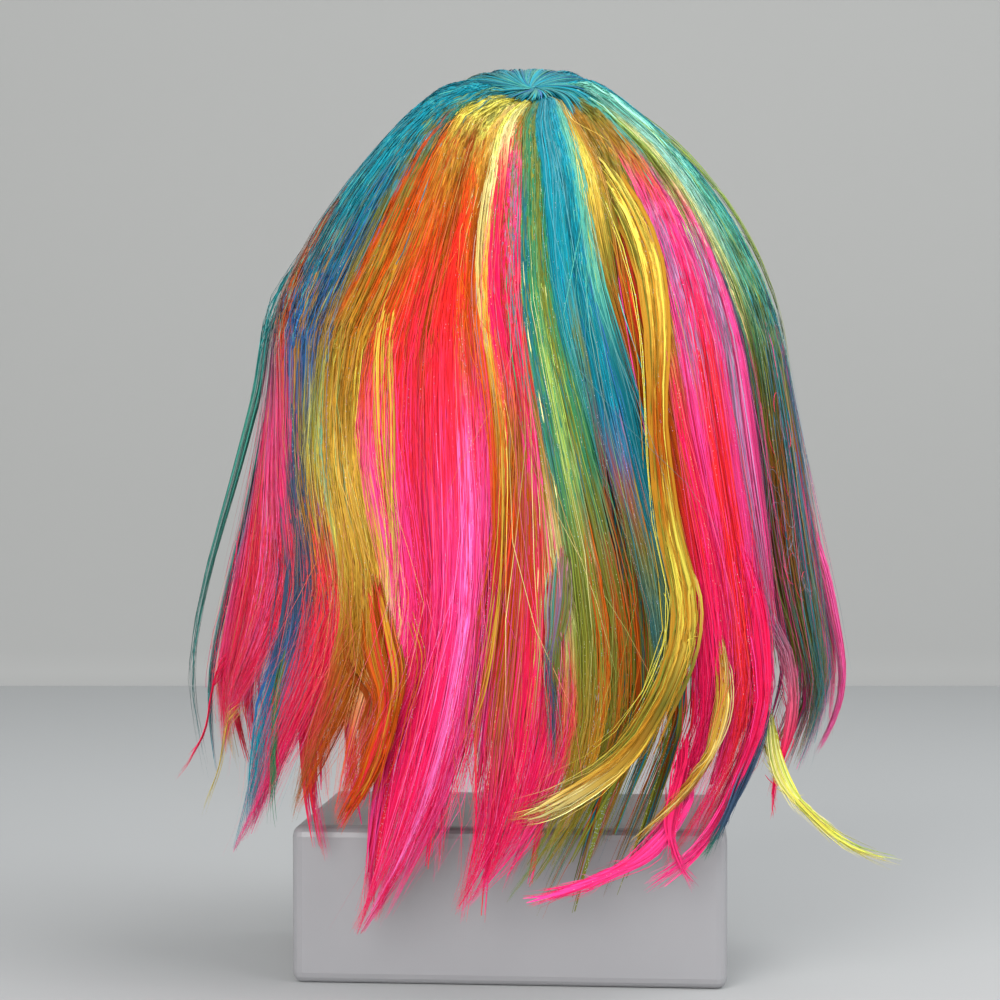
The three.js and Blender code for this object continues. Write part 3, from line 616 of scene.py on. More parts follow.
# Soft light from a bright room, in metres and watts
LIGHT_COLUMNS = ("name", "place", "target", "size", "power", "colour")
LIGHTS = [dict(zip(LIGHT_COLUMNS, row)) for row in [
    ("key", (-0.9, -1.7, 1.2), (0, 0, 0.2), 1.2, 22, (1, 0.98, 0.96)),
    ("window", (-0.4, -2.2, 0.35), (0, 0, 0.18), 1.6, 30, (0.98, 0.99, 1)),
    ("fill", (1.5, -1.0, 0.9), (0, 0, 0.2), 1.2, 16, (0.95, 0.98, 1)),
    ("top", (0.7, -0.1, 1.5), (0, 0, 0.2), 1.0, 10, (1, 1, 1)),
]]
ROOM_COLOUR, ROOM_STRENGTH = (0.93, 0.96, 1, 1), 0.55


def smooth(values, place):
    """A smooth curve through evenly spaced values, read at places counted in values"""
    values = np.asarray(values, float)
    last = len(values) - 1
    start = np.clip(np.floor(place).astype(int), 0, last - 1)
    t = place - start
    before = values[np.maximum(start - 1, 0)]
    source = values[start]
    target = values[start + 1]
    after = values[np.minimum(start + 2, last)]
    slope_source = (target - before) / 2
    slope_target = (after - source) / 2
    bend = 3 * (target - source) - 2 * slope_source - slope_target
    twist = slope_source + slope_target - 2 * (target - source)
    return source + t * (slope_source + t * (bend + t * twist))


def smoothstep(value, low, high):
    """Rises from 0 to 1 between two values"""
    t = np.clip((value - low) / (high - low), 0, 1)
    return t * t * (3 - 2 * t)


def ring_value(name, level):
    """One measure of the outer form at a level"""
    return smooth(RINGS[:, RING_COLUMNS.index(name)], level)


def outer_point(level, bearing):
    """A point on the outer form"""
    level, bearing = np.broadcast_arrays(np.asarray(level, float), np.asarray(bearing, float))
    angle = np.radians(bearing)
    forward = (1 - np.cos(angle)) / 2
    back_y, front_y = ring_value("back_y", level), ring_value("front_y", level)
    back_z, front_z = ring_value("back_z", level), ring_value("front_z", level)
    x = ring_value("middle_x", level) + ring_value("half_width", level) * np.sin(angle)
    return np.stack([x, back_y + (front_y - back_y) * forward, back_z + (front_z - back_z) * forward], -1)


def unit(vectors):
    """Vectors of length 1"""
    return vectors / np.maximum(np.linalg.norm(vectors, axis=-1, keepdims=True), LEAST_VECTOR)


def outward(level, bearing):
    """The way straight out of the outer form"""
    upper = np.maximum(level - LEVEL_STEP, LEVEL_STEP)
    middle = upper + LEVEL_STEP
    down = outer_point(upper + 2 * LEVEL_STEP, bearing) - outer_point(upper, bearing)
    sideways = outer_point(middle, bearing + BEARING_STEP) - outer_point(middle, bearing - BEARING_STEP)
    return unit(np.cross(down, sideways))


def hair_point(level, bearing, depth):
    """A point at a depth under the outer form"""
    return outer_point(level, bearing) - outward(level, bearing) * np.asarray(depth)[..., None]


def degree_length(level, bearing):
    """Millimetres to a degree of bearing"""
    ahead = outer_point(level, bearing + BEARING_STEP)
    behind = outer_point(level, bearing - BEARING_STEP)
    return np.maximum(np.linalg.norm(ahead - behind, axis=-1) / (2 * BEARING_STEP), LEAST_DEGREE)


def linear(name):
    """A palette colour in linear light"""
    srgb = np.array(PALETTE[name]) / 255
    return np.where(srgb <= 0.04045, srgb / 12.92, ((srgb + 0.055) / 1.055) ** 2.4)


def stops_colour(stops, place):
    """Colours read from stops at an array of places"""
    colours = np.array([linear(name) for name in stops.values()])
    return np.stack([np.interp(place, list(stops), colours[:, channel]) for channel in range(3)], -1)


def band_colours(bands, level, place):
    """Colours of a lock's bands at levels and at places across it"""
    colours = stops_colour(bands[-1][1], level)
    for right_edge, stops in reversed(bands[:-1]):
        inside = place < np.interp(level, list(right_edge), list(right_edge.values()))
        colours[inside] = stops_colour(stops, level)[inside]
    return colours


def even_mixes(accents, shape):
    """Colours mixed in over the whole length, with their shares"""
    return [(linear(name), share, np.full(shape, MIX_WEIGHT)) for name, share in accents]


def level_mixes(accents, level):
    """Colours mixed in between two levels, with their shares"""
    mixes = []
    for name, share, low, high in accents:
        begun = smoothstep(level, low - MIX_BLEND, low + MIX_BLEND)
        ended = smoothstep(level, high - MIX_BLEND, high + MIX_BLEND)
        mixes.append((linear(name), share, MIX_WEIGHT * begun * (1 - ended)))
    return mixes


def mix_in(colours, mixes, draw):
    """Gives strands one of the colours mixed in, by their draw"""
    reached = 0
    for colour, share, weight in mixes:
        chosen = (draw >= reached) & (draw < reached + share)
        colours[chosen] += weight[chosen, :, None] * (colour - colours[chosen])
        reached += share


def mixed_colours(own, mixes, depth_share, clump):
    """Colours along each strand: its own, those of its streaks and those of its painted glints. Clumps and
    strands take up colours mixed in, differ in tone and get a painted shade deeper inside a lock"""
    count = len(own)
    clumps = clump.max() + 1
    mix_in(own, mixes, rng.random(clumps)[clump] / CLUMP_MIX_SHARE)
    streak = own * rng.uniform(*STREAK_TONES, (count, 1, 1))
    for colours in (own, streak):
        mix_in(colours, mixes, rng.random(count) / STRAND_MIX_SHARE)
    tone = np.exp(rng.normal(0, CLUMP_TONE, clumps)[clump] + rng.normal(0, STRAND_TONE, count))
    # Painted shade: strands that lie deeper in a lock are darkened
    tone = (tone * (1 - INNER_PAINTED_SHADE * depth_share))[:, None, None]
    own = np.clip(own * tone, DARKEST, LIGHTEST)
    streak = np.clip(streak * tone, DARKEST, LIGHTEST)
    # Painted glints: a share of the strands get pale glint colours for their specks
    glint = own.copy()
    glinting = np.flatnonzero(rng.random(count) < PAINTED_GLINT_SHARE)
    shades = np.array([linear(name) for name in PAINTED_GLINT_COLOURS])
    glint[glinting] = shades[rng.integers(0, len(PAINTED_GLINT_COLOURS), len(glinting))][:, None, :]
    return own, streak, glint


def waves(place, low, high, member):
    """Soft swing of strands along their length, growing from low to high and shared by those of one member
    number"""
    groups = member.max() + 1
    turns = rng.uniform(*WAVE_TURNS, groups)[member, None]
    phase = rng.uniform(0, 2 * np.pi, groups)[member, None]
    size = rng.normal(0, 1, groups)[member, None] * (low + (high - low) * smoothstep(place, *WAVE_GROWTH))
    return size * np.sin(2 * np.pi * turns * place + phase)


def strands(points, out, colours, width, lean):
    """One set of strands: points along each, the way out of the hair, colours, width and lean"""
    own, streak, glint = colours
    return {"points": points, "out": out, "own": own, "streak": streak, "glint": glint,
            "width": width, "lean": lean}


def laid_strands(level, bearing, depth, colours, width, lean):
    """One set of strands that follow the outer form at a depth"""
    return strands(hair_point(level, bearing, depth), outward(level, bearing), colours, width, lean)


def uneven(clump, turn):
    """A number from 0 to 1 for each clump, unlike that of its neighbours"""
    return 0.5 + 0.5 * np.sin(turn * clump)


def strand_widths(count, ribbon):
    """Widths of ribbons or fibres, a little different from each other"""
    return (RIBBON_WIDTH if ribbon else FIBRE_WIDTH) * np.exp(rng.normal(0, WIDTH_SPREAD, count))


def lock_profile(index):
    """Middle, half span, height and flare of a lock's section, on a row of levels"""
    lock = LOCKS[index]
    following = LOCKS[(index + 1) % len(LOCKS)]
    turn = 360 if index + 1 == len(LOCKS) else 0
    levels = PROFILE_LEVELS
    station = np.interp(levels, EDGE_LEVELS, range(len(EDGE_LEVELS)))
    left = smooth(lock["edge"], station)
    right = smooth(following["edge"], station) + turn
    arc = np.linalg.norm(outer_point(levels, left) - outer_point(levels, right), axis=-1)
    kept = np.clip((arc - 2 * HALF_GAP) / np.maximum(arc, LEAST_ARC), LEAST_KEPT, 1)
    remaining = np.clip((lock["end"] - levels) / TAPER_LEVELS, 0, 1)
    tip = np.sqrt(remaining * (2 - remaining))
    thickness = np.minimum(LOCK_THICKNESS, THICKEST_FOR_WIDTH * arc + LEAST_THICKNESS)
    return {
        "levels": levels,
        "middle": (left + right) / 2,
        "half": (right - left) / 2 * kept * (TIP_WIDTH_SHARE + (1 - TIP_WIDTH_SHARE) * tip),
        "height": (thickness + lock["proud"]) * (TIP_THICKNESS_SHARE + (1 - TIP_THICKNESS_SHARE) * tip),
        "flare": lock["flare"] * (1 - np.sqrt(tip)),
        "width": arc,
    }


def edge_drop(level):
    """How far a lock's section falls off to its edges, as in the solids"""
    towards_tip = smoothstep(level, CROWN_EDGE_LEVEL, TIP_EDGE_LEVEL)
    return CROWN_EDGE_DROP + (TIP_EDGE_DROP - CROWN_EDGE_DROP) * towards_tip


def lock_strands(index, ribbon):
    """Strands that fill a lock from the whorl to its tip, swing in clumps and part towards the ends"""
    lock = LOCKS[index]
    profile = lock_profile(index)

    def read(column, level):
        return np.interp(level, profile["levels"], profile[column])

    hidden = lock["name"].startswith("fringe") or "front" in lock["name"]
    widest = max(read("width", level) for level in WIDTH_LEVELS if level < lock["end"])
    per_mm = RIBBONS_PER_MM if ribbon else FIBRES_PER_MM
    count = int(widest * per_mm * (HIDDEN_SHARE if hidden else 1))
    steps = RIBBON_STEPS if ribbon else FIBRE_STEPS
    single = np.arange(count)
    # Places across the lock, from -1 to 1 and a little beyond, in clumps
    place = rng.uniform(-LOCK_OVERLAP, LOCK_OVERLAP, count)
    depth_share = rng.uniform(*RIBBON_DEPTHS, count) if ribbon else rng.random(count) ** FIBRE_DEPTH_POWER
    band_place = place + rng.normal(0, BAND_JITTER, count)
    clumps = max(2, round(widest / CLUMP_WIDTH))
    clump_place = (place + rng.normal(0, CLUMP_JITTER, count) + LOCK_OVERLAP) / (2 * LOCK_OVERLAP) * clumps
    clump = np.clip(clump_place.astype(int), 0, clumps - 1)
    clump_middle = (clump + 0.5) / clumps * 2 * LOCK_OVERLAP - LOCK_OVERLAP
    veil_share = RIBBON_VEIL_SHARE if ribbon else FIBRE_VEIL_SHARE
    veil = (rng.random(count) < veil_share) & (depth_share < VEIL_DEEPEST)
    place = np.where(veil, place * rng.uniform(*VEIL_REACH, count), place)
    stray = (rng.random(count) < STRAY_SHARE) & (not ribbon)
    # Levels along each strand, and places that gather and slim down to the tip
    fade = SHORT_FADE if lock["end"] < SHORT_LOCK_LEVEL else LONG_FADE
    start = rng.uniform(*START_LEVELS, count)
    end = lock["end"] + END_OVERRUN - fade * rng.random(count) ** END_POWER
    end = end - CLUMP_END_LEVELS * uneven(clump, CLUMP_END_TURN)
    along = np.linspace(0, 1, steps)[None, :]
    level = start[:, None] + (end - start)[:, None] * along
    reach = level / REACH_LEVELS
    gather = CLUMP_GATHER * smoothstep(level, lock["end"] - CLUMP_LEVELS, lock["end"])
    wander = rng.normal(0, 1, count) * np.where(rng.random(count) < WANDER_SHARE, FAR_WANDER, NEAR_WANDER)
    gathered = place[:, None] + (clump_middle - place)[:, None] * gather + wander[:, None] * reach
    gathered = gathered * (1 - TIP_SLIMNESS * smoothstep(level, lock["end"] - TIP_SLIM_LEVELS, lock["end"]))
    # Bearings with swing and twist, and depths under the outer form
    swing = waves(reach, *CLUMP_SWING, clump) + waves(reach, *STRAND_SWING, single)
    if lock["end"] > SWEPT_LOCK_LEVEL:
        sweep = TIP_SWEEP * uneven(clump, TIP_SWEEP_TURN)[:, None]
        swing = swing - sweep * smoothstep(level, lock["end"] - TIP_SWEEP_LEVELS, lock["end"]) ** 2
    bearing = read("middle", level) + gathered * read("half", level)
    bearing = bearing + swing / degree_length(level, bearing)
    bearing = bearing + WHORL_TWIST * np.exp(-level / WHORL_TWIST_LEVELS)
    dome = read("height", level) * (1 - EDGE_FILL * edge_drop(level) * np.clip(gathered, -1, 1) ** 2)
    depth = LOCK_THICKNESS - dome * (1 - INNER_DEPTH * depth_share[:, None]) - read("flare", level)
    depth = depth - waves(reach, *CLUMP_LIFT, clump) - waves(reach, *STRAND_LIFT, single)
    depth = depth - np.where(stray, rng.uniform(*STRAY_LIFT, count), 0)[:, None] * along ** 2
    bearing = bearing + stray[:, None] * waves(along, *STRAY_SWING, single)
    # Colours
    bands, accents = LOOKS[lock["name"]]
    own = band_colours(bands, level + rng.normal(0, LEVEL_JITTER, (count, 1)), band_place[:, None])
    own = own + np.where(stray, STRAY_PALENESS, 0)[:, None, None] * (linear("pale_gold") - own)
    colours = mixed_colours(own, level_mixes(accents, level), depth_share, clump)
    width = strand_widths(count, ribbon) * np.where(stray, STRAY_WIDTH, 1)
    return laid_strands(level, bearing, depth, colours, width, LOCK_LEAN)


def loose_strands(lock, look, ribbon):
    """Strands along the route of a loose lock or a wisp, which leave the hair one by one as it widens"""
    count = int(lock["fibres"] * (LOOSE_RIBBON_SHARE if ribbon else 1))
    steps = RIBBON_STEPS if ribbon else FIBRE_STEPS
    single = np.arange(count)
    route = dict(zip(ROUTE_COLUMNS, np.array(lock["route"], float).T))

    def at(column, share):
        return smooth(route[column], share * (len(route[column]) - 1))

    def middle(share):
        depth = -(LOOSE_LOCK_CLEARANCE + at("rise", share))
        return hair_point(at("level", share), at("bearing", share), depth)

    widest = route["width"].max()
    stops, accents = look
    along = np.linspace(0, 1, steps)[None, :]
    grown = np.maximum.accumulate(at("width", LOOSE_START_SHARES)) / widest
    start = np.interp(rng.random(count), grown, LOOSE_START_SHARES) + LOOSE_START_JITTER * rng.random(count)
    end = LOOSE_END - LOOSE_END_SPREAD * rng.random(count) ** LOOSE_END_POWER
    share = start[:, None] + (end - start)[:, None] * along
    heading = unit(middle(np.minimum(share + ROUTE_STEP, 1)) - middle(np.maximum(share - ROUTE_STEP, 0)))
    out = outward(at("level", share), at("bearing", share))
    out = unit(out - heading * (out * heading).sum(-1, keepdims=True))
    across = np.cross(out, heading)
    breadth = np.maximum(at("width", share), LEAST_BREADTH)
    apart = rng.random(count) < LOOSE_APART_SHARE
    place = rng.normal(0, LOOSE_SPREAD, count) * np.where(apart, LOOSE_APART, 1)
    clump = np.clip((place + 1) / 2 * LOOSE_CLUMPS, 0, LOOSE_CLUMPS - 1).astype(int)
    depth_share = rng.random(count)
    upper = 1 - smoothstep(share, *LOOSE_UPPER_SHARES)
    side = place[:, None] * breadth / 2 * (1 + LOOSE_UPPER_SPREAD * upper)
    side = side + waves(share, *LOOSE_CLUMP_SWING, clump) + waves(share, *LOOSE_STRAND_SWING, single)
    side = side + rng.normal(0, LOOSE_FRAY, (count, 1)) * smoothstep(along, *LOOSE_FRAY_SHARES) ** 2
    drop = TIP_EDGE_DROP * np.minimum(place[:, None] ** 2, 1)
    dome = LOOSE_FLATNESS * lock["thickness"] * breadth / widest * (1 - drop)
    sunk = LOOSE_SINK + LOOSE_ROOT_DEPTH * (1 - smoothstep(along, 0, LOOSE_ROOT_SHARE))
    sunk = sunk + LOOSE_UPPER_DEPTH * upper
    rise = dome * (1 - LOOSE_INNER_DEPTH * depth_share[:, None]) + waves(share, *LOOSE_LIFT, single) - sunk
    points = middle(share) + across * side[..., None] + out * rise[..., None]
    own = stops_colour(stops, share + rng.normal(0, LOOSE_COLOUR_JITTER, (count, 1)))
    colours = mixed_colours(own, even_mixes(accents, share.shape), depth_share, clump)
    return strands(points, out, colours, strand_widths(count, ribbon), LOOSE_LEAN)


def curl_strands(curl):
    """Single fibres that curl over the hair"""
    count = curl["fibres"]
    along = np.linspace(0, 1, FIBRE_STEPS)[None, :]

    def draw(limits):
        return rng.uniform(*limits, (count, 1))

    radius = draw(curl["radii"])
    turn = draw((0, 2 * np.pi)) + draw(CURL_TURN) * along
    level = draw(curl["levels"]) + CURL_STRETCH * radius * np.sin(turn) / LEVEL_LENGTH
    bearing = draw(curl["bearings"]) + 0 * level
    bearing = bearing + radius * np.cos(turn) / degree_length(level, bearing)
    depth = -draw(CURL_LIFT) + 0 * level
    shades = np.array([linear(name) for name in curl["colours"]])
    own = np.repeat(shades[rng.integers(0, len(shades), count)][:, None, :], FIBRE_STEPS, 1)
    colours = mixed_colours(own, (), np.zeros(count), np.arange(count))
    width = CURL_WIDTH * strand_widths(count, False)
    return laid_strands(level, bearing, depth, colours, width, LOOSE_LEAN)


def hem_level(bearing):
    """Level of the under hair's hem, scalloped and arched over the face, as in the solid"""
    turned = np.abs(bearing) % 360
    away = np.where(turned > 180, 360 - turned, turned)
    hanging = BACK_HEM_LEVEL + (SIDE_HEM_LEVEL - BACK_HEM_LEVEL) * smoothstep(
        away, BACK_HEM_BEARING, SIDE_HEM_BEARING)
    hanging = hanging + SCALLOP_LEVELS * np.cos(np.radians(bearing * SCALLOPS))
    to_face = smoothstep(away, FACE_EDGE_BEARING - FACE_EDGE_BLEND, FACE_EDGE_BEARING + FACE_EDGE_BLEND)
    return hanging + (FACE_HEM_LEVEL - hanging) * to_face


def sector_colours(bearing):
    """One of the colours of its sector for each bearing"""
    colours = np.zeros((len(bearing), 3))
    for low, high, names in UNDER_SECTORS:
        inside = (bearing >= low) & (bearing < high)
        picks = np.array([linear(name) for name in names])
        colours[inside] = picks[rng.integers(0, len(names), inside.sum())]
    return colours


def under_strands(ribbon):
    """Strands of the under hair, most of them at the back, from under the locks to the scalloped hem"""
    count = UNDER_RIBBONS if ribbon else UNDER_FIBRES
    steps = RIBBON_STEPS if ribbon else FIBRE_STEPS
    at_back = rng.random(count) < UNDER_BACK_SHARE
    bearing = np.where(at_back, rng.uniform(*UNDER_BACK_BEARINGS, count), rng.uniform(-180, 180, count))
    clump = ((bearing + 180) / UNDER_CLUMP).astype(int)
    clump_middle = (clump + 0.5) * UNDER_CLUMP - 180
    end = hem_level(bearing) + HEM_OVERRUN - HEM_FADE * rng.random(count) ** 2
    end = end - TUFT_LEVELS * uneven(clump, TUFT_TURN)
    start = end * rng.uniform(*UNDER_START_SHARES, count)
    along = np.linspace(0, 1, steps)[None, :]
    level = start[:, None] + (end - start)[:, None] * along
    reach = level / REACH_LEVELS
    single = np.arange(count)
    gather = CLUMP_GATHER * smoothstep(level, end[:, None] - CLUMP_LEVELS, end[:, None])
    turned = bearing[:, None] + (clump_middle - bearing)[:, None] * gather
    swing = waves(reach, *UNDER_CLUMP_SWING, clump) + waves(reach, *UNDER_STRAND_SWING, single)
    sweep = HEM_SWEEP * rng.uniform(*HEM_SWEEP_SPREAD, clump.max() + 1)[clump, None]
    swing = swing - sweep * smoothstep(level, HEM_SWEEP_LEVEL, HEM_SWEEP_LEVEL + CLUMP_LEVELS)
    turned = turned + swing / degree_length(level, turned)
    depth_share = rng.random(count)
    depth = UNDER_HAIR_DEPTH + UNDER_STRAND_DEPTH * depth_share[:, None]
    depth = depth + waves(reach, *UNDER_CLUMP_LIFT, clump) + waves(reach, *UNDER_STRAND_LIFT, single)
    own = np.repeat(sector_colours(bearing)[:, None, :], steps, 1)
    colours = mixed_colours(own, (), depth_share, clump)
    width = strand_widths(count, ribbon) * (UNDER_RIBBON_WIDTH if ribbon else 1)
    return laid_strands(level, turned, depth, colours, width, LOCK_LEAN)


def whorl_strands():
    """Short fibres that swirl out of the middle of the crown over the roots of the locks"""
    count = WHORL_FIBRES
    bearing = rng.uniform(-180, 180, count)
    along = np.linspace(0, 1, FIBRE_STEPS)[None, :]
    yellow = (bearing > YELLOW_ROOT_BEARINGS[0]) & (bearing < YELLOW_ROOT_BEARINGS[1])
    end = np.where(yellow, rng.uniform(*SHORT_WHORL_LEVELS, count), rng.uniform(*LONG_WHORL_LEVELS, count))
    level = WHORL_START_LEVEL + end[:, None] * along
    turned = bearing[:, None] + WHORL_TWIST * np.exp(-level / WHORL_TWIST_LEVELS)
    depth_share = rng.random(count)
    depth = WHORL_TOP_DEPTH + WHORL_DEPTH * depth_share[:, None] ** 2 + WHORL_TUCK * along ** 3
    own = stops_colour({0: "turquoise"}, level)
    colours = mixed_colours(own, even_mixes(WHORL_MIX, level.shape), depth_share, np.arange(count))
    width = WHORL_FIBRE_WIDTH * strand_widths(count, False)
    return laid_strands(level, turned, depth, colours, width, WHORL_LEAN)


def strand_arrays(group):
    """Vertices, faces, colours, streak places and map of a set of strands, each a flat strip"""
    points, out, width = group["points"], group["out"], group["width"]
    count, steps = points.shape[:2]
    single = np.arange(count)
    heading = unit(np.gradient(points, axis=1))
    across = unit(np.cross(heading, out))
    upright = np.cross(across, heading)
    along = np.linspace(0, 1, steps)
    lean = rng.normal(0, group["lean"], (count, 1)) + waves(along[None, :], *STRIP_TWIST, single)
    across = np.cos(lean)[..., None] * across + np.sin(lean)[..., None] * upright
    girth = np.interp(along, GIRTH_PLACES, GIRTHS)
    half = width[:, None] / 2 * girth[None, :]
    offset = across * half[..., None]
    vertices = np.stack([points + offset, points - offset], 2).reshape(-1, 3)
    length = np.cumsum(np.linalg.norm(np.diff(points, axis=1, prepend=points[:, :1]), axis=-1), axis=1)
    streak_along = length / STREAK_LENGTH + rng.uniform(0, STREAK_SPREAD, count)[:, None]
    streak_along = np.repeat(streak_along[..., None], 2, 2)
    streak_across = np.stack([half, -half], 2) * STREAKS_PER_MM
    streak_place = np.stack([streak_along, streak_across, 0 * streak_along], -1).reshape(-1, 3)
    step = np.arange(steps - 1)
    quad = np.stack([2 * step, 2 * step + 2, 2 * step + 3, 2 * step + 1], -1).ravel()
    loops = ((single * steps * 2)[:, None] + quad[None, :]).ravel()
    # Each strand has a strip of its own in the map, with its length along the first axis
    columns = max(1, math.ceil(count / STRIPS_PER_COLUMN))
    rows = math.ceil(count / columns)
    strip_length = np.stack([step, step + 1, step + 1, step], -1).ravel() / (steps - 1)
    strip_side = np.tile([0, 0, 1, 1], steps - 1)
    inset_length = MARGIN_ALONG + (1 - 2 * MARGIN_ALONG) * strip_length
    inset_side = MARGIN_ACROSS + (1 - 2 * MARGIN_ACROSS) * strip_side
    u = ((single // rows)[:, None] + inset_length[None, :]) / columns
    v = ((single % rows)[:, None] + inset_side[None, :]) / rows
    return {
        "vertices": vertices,
        "loops": loops,
        "streak_place": streak_place,
        "map": np.stack([u.ravel(), v.ravel()], -1),
        **{key: np.repeat(group[key].reshape(-1, 3), 2, axis=0) for key in COLOUR_ATTRIBUTES},
    }


def body_arrays():
    """Ridged wall of hair behind the fibres, so that no light shows through above the hem, its colours
    darkened as painted shade
    """
    bearing = np.arange(BODY_COLUMNS) * 360 / BODY_COLUMNS - 180
    ridge = rng.normal(0, BODY_RIDGE, BODY_COLUMNS)
    row = np.linspace(0, 1, BODY_ROWS)[:, None]
    level = BODY_TOP_LEVEL + (hem_level(bearing) - BODY_HEM_RISE - BODY_TOP_LEVEL)[None, :] * row
    grid = np.broadcast_to(bearing[None, :], level.shape)
    swing = np.sin(level * BODY_SWING_RATE + np.radians(bearing)[None, :] * BODY_FOLDS)
    turned = grid + BODY_SWING * swing / degree_length(level, grid)
    outer = hair_point(level, turned, BODY_OUTER_DEPTH + ridge[None, :] * row)
    inner = hair_point(level, turned, BODY_INNER_DEPTH + 0 * level)
    # Rings of vertices down the outer side and up the inner side, back to the first one
    ring_starts = np.arange(2 * BODY_ROWS) * BODY_COLUMNS
    rings = np.concatenate([ring_starts[:BODY_ROWS], ring_starts[:BODY_ROWS - 1:-1], ring_starts[:1]])
    column = np.arange(BODY_COLUMNS)
    beside = (column + 1) % BODY_COLUMNS
    upper, lower = rings[:-1, None], rings[1:, None]
    loops = np.stack([upper + column, lower + column, lower + beside, upper + beside], -1)
    left = (column + MARGIN_ACROSS) / BODY_COLUMNS
    right = (column + 1 - MARGIN_ACROSS) / BODY_COLUMNS
    corner_u = np.broadcast_to(np.stack([left, left, right, right], -1), loops.shape)
    strip = np.arange(2 * BODY_ROWS)[:, None, None]
    corner_v = np.broadcast_to((strip + np.array([0, 1, 1, 0])) / (2 * BODY_ROWS), loops.shape)
    # Painted shade: the wall's colours are darkened, as it lies deep in the hair
    tone = BODY_PAINTED_SHADE * np.exp(rng.normal(0, BODY_TONE_SPREAD, BODY_COLUMNS))[:, None]
    own, streak = (np.tile(np.clip(sector_colours(bearing) * tone, DARKEST, LIGHTEST), (2 * BODY_ROWS, 1))
                   for _ in range(2))
    streak_along, streak_across = level.ravel() * BODY_STREAKS[0], grid.ravel() * BODY_STREAKS[1]
    return {
        "vertices": np.concatenate([outer.reshape(-1, 3), inner.reshape(-1, 3)]),
        "loops": loops.ravel(),
        "own": own,
        "streak": streak,
        "glint": own,
        "streak_place": np.tile(np.stack([streak_along, streak_across, 0 * streak_along], -1), (2, 1)),
        "map": np.stack([corner_u, corner_v], -1).reshape(-1, 2),
    }


def make_mesh(name, parts):
    """One mesh from sets of arrays, each with its own band of the map"""
    offsets = np.cumsum([0] + [len(part["vertices"]) for part in parts])
    joined = {key: np.concatenate([part[key] for part in parts]) for key in parts[0]}
    loops = np.concatenate([part["loops"] + offset for part, offset in zip(parts, offsets)])
    bands = [(part["map"] + (0, band)) / (1, len(parts)) for band, part in enumerate(parts)]
    starts = np.arange(0, len(loops), 4)
    count = len(joined["vertices"])
    mesh = bpy.data.meshes.new(name)
    mesh.vertices.add(count)
    mesh.vertices.foreach_set("co", (joined["vertices"] * MM).astype(np.float32).ravel())
    mesh.loops.add(len(loops))
    mesh.loops.foreach_set("vertex_index", loops.astype(np.int32))
    mesh.polygons.add(len(starts))
    mesh.polygons.foreach_set("loop_start", starts.astype(np.int32))
    mesh.polygons.foreach_set("use_smooth", np.ones(len(starts), bool))
    mesh.update(calc_edges=True)
    for key, attribute in COLOUR_ATTRIBUTES.items():
        colour = mesh.color_attributes.new(attribute, "FLOAT_COLOR", "POINT")
        rgba = np.concatenate([joined[key], np.ones((count, 1))], -1)
        colour.data.foreach_set("color", rgba.astype(np.float32).ravel())
    place = mesh.attributes.new("streak_place", "FLOAT_VECTOR", "POINT")
    place.data.foreach_set("vector", joined["streak_place"].astype(np.float32).ravel())
    layer = mesh.uv_layers.new(name=MAP_NAME)
    layer.data.foreach_set("uv", np.concatenate(bands).astype(np.float32).ravel())
    return mesh


def set_inputs(node, values):
    """Sets inputs of a node by their names"""
    for name, value in values.items():
        node.inputs[name].default_value = value


def new_material(name, values):
    """A material whose shader has some inputs set"""
    material = bpy.data.materials.new(name)
    material.use_nodes = True
    set_inputs(shader_of(material), values)
    return material


def shader_of(material):
    """The shader that a material starts with"""
    return material.node_tree.nodes["Principled BSDF"]


def new_node(material, kind, values):
    """A new node with some inputs set"""
    node = material.node_tree.nodes.new("ShaderNode" + kind)
    set_inputs(node, values)
    return node


def new_ramp(material, *stops):
    """A ramp between two stops, each a place and a colour"""
    node = new_node(material, "ValToRGB", {})
    for element, (place, colour) in zip(node.color_ramp.elements, stops):
        element.position = place
        element.color = (*colour, 1)
    return node


def join(material, *wires):
    """Links nodes, each wire as a node, its output, the next node and its input"""
    for source, output, target, entry in wires:
        material.node_tree.links.new(source.outputs[output], target.inputs[entry])


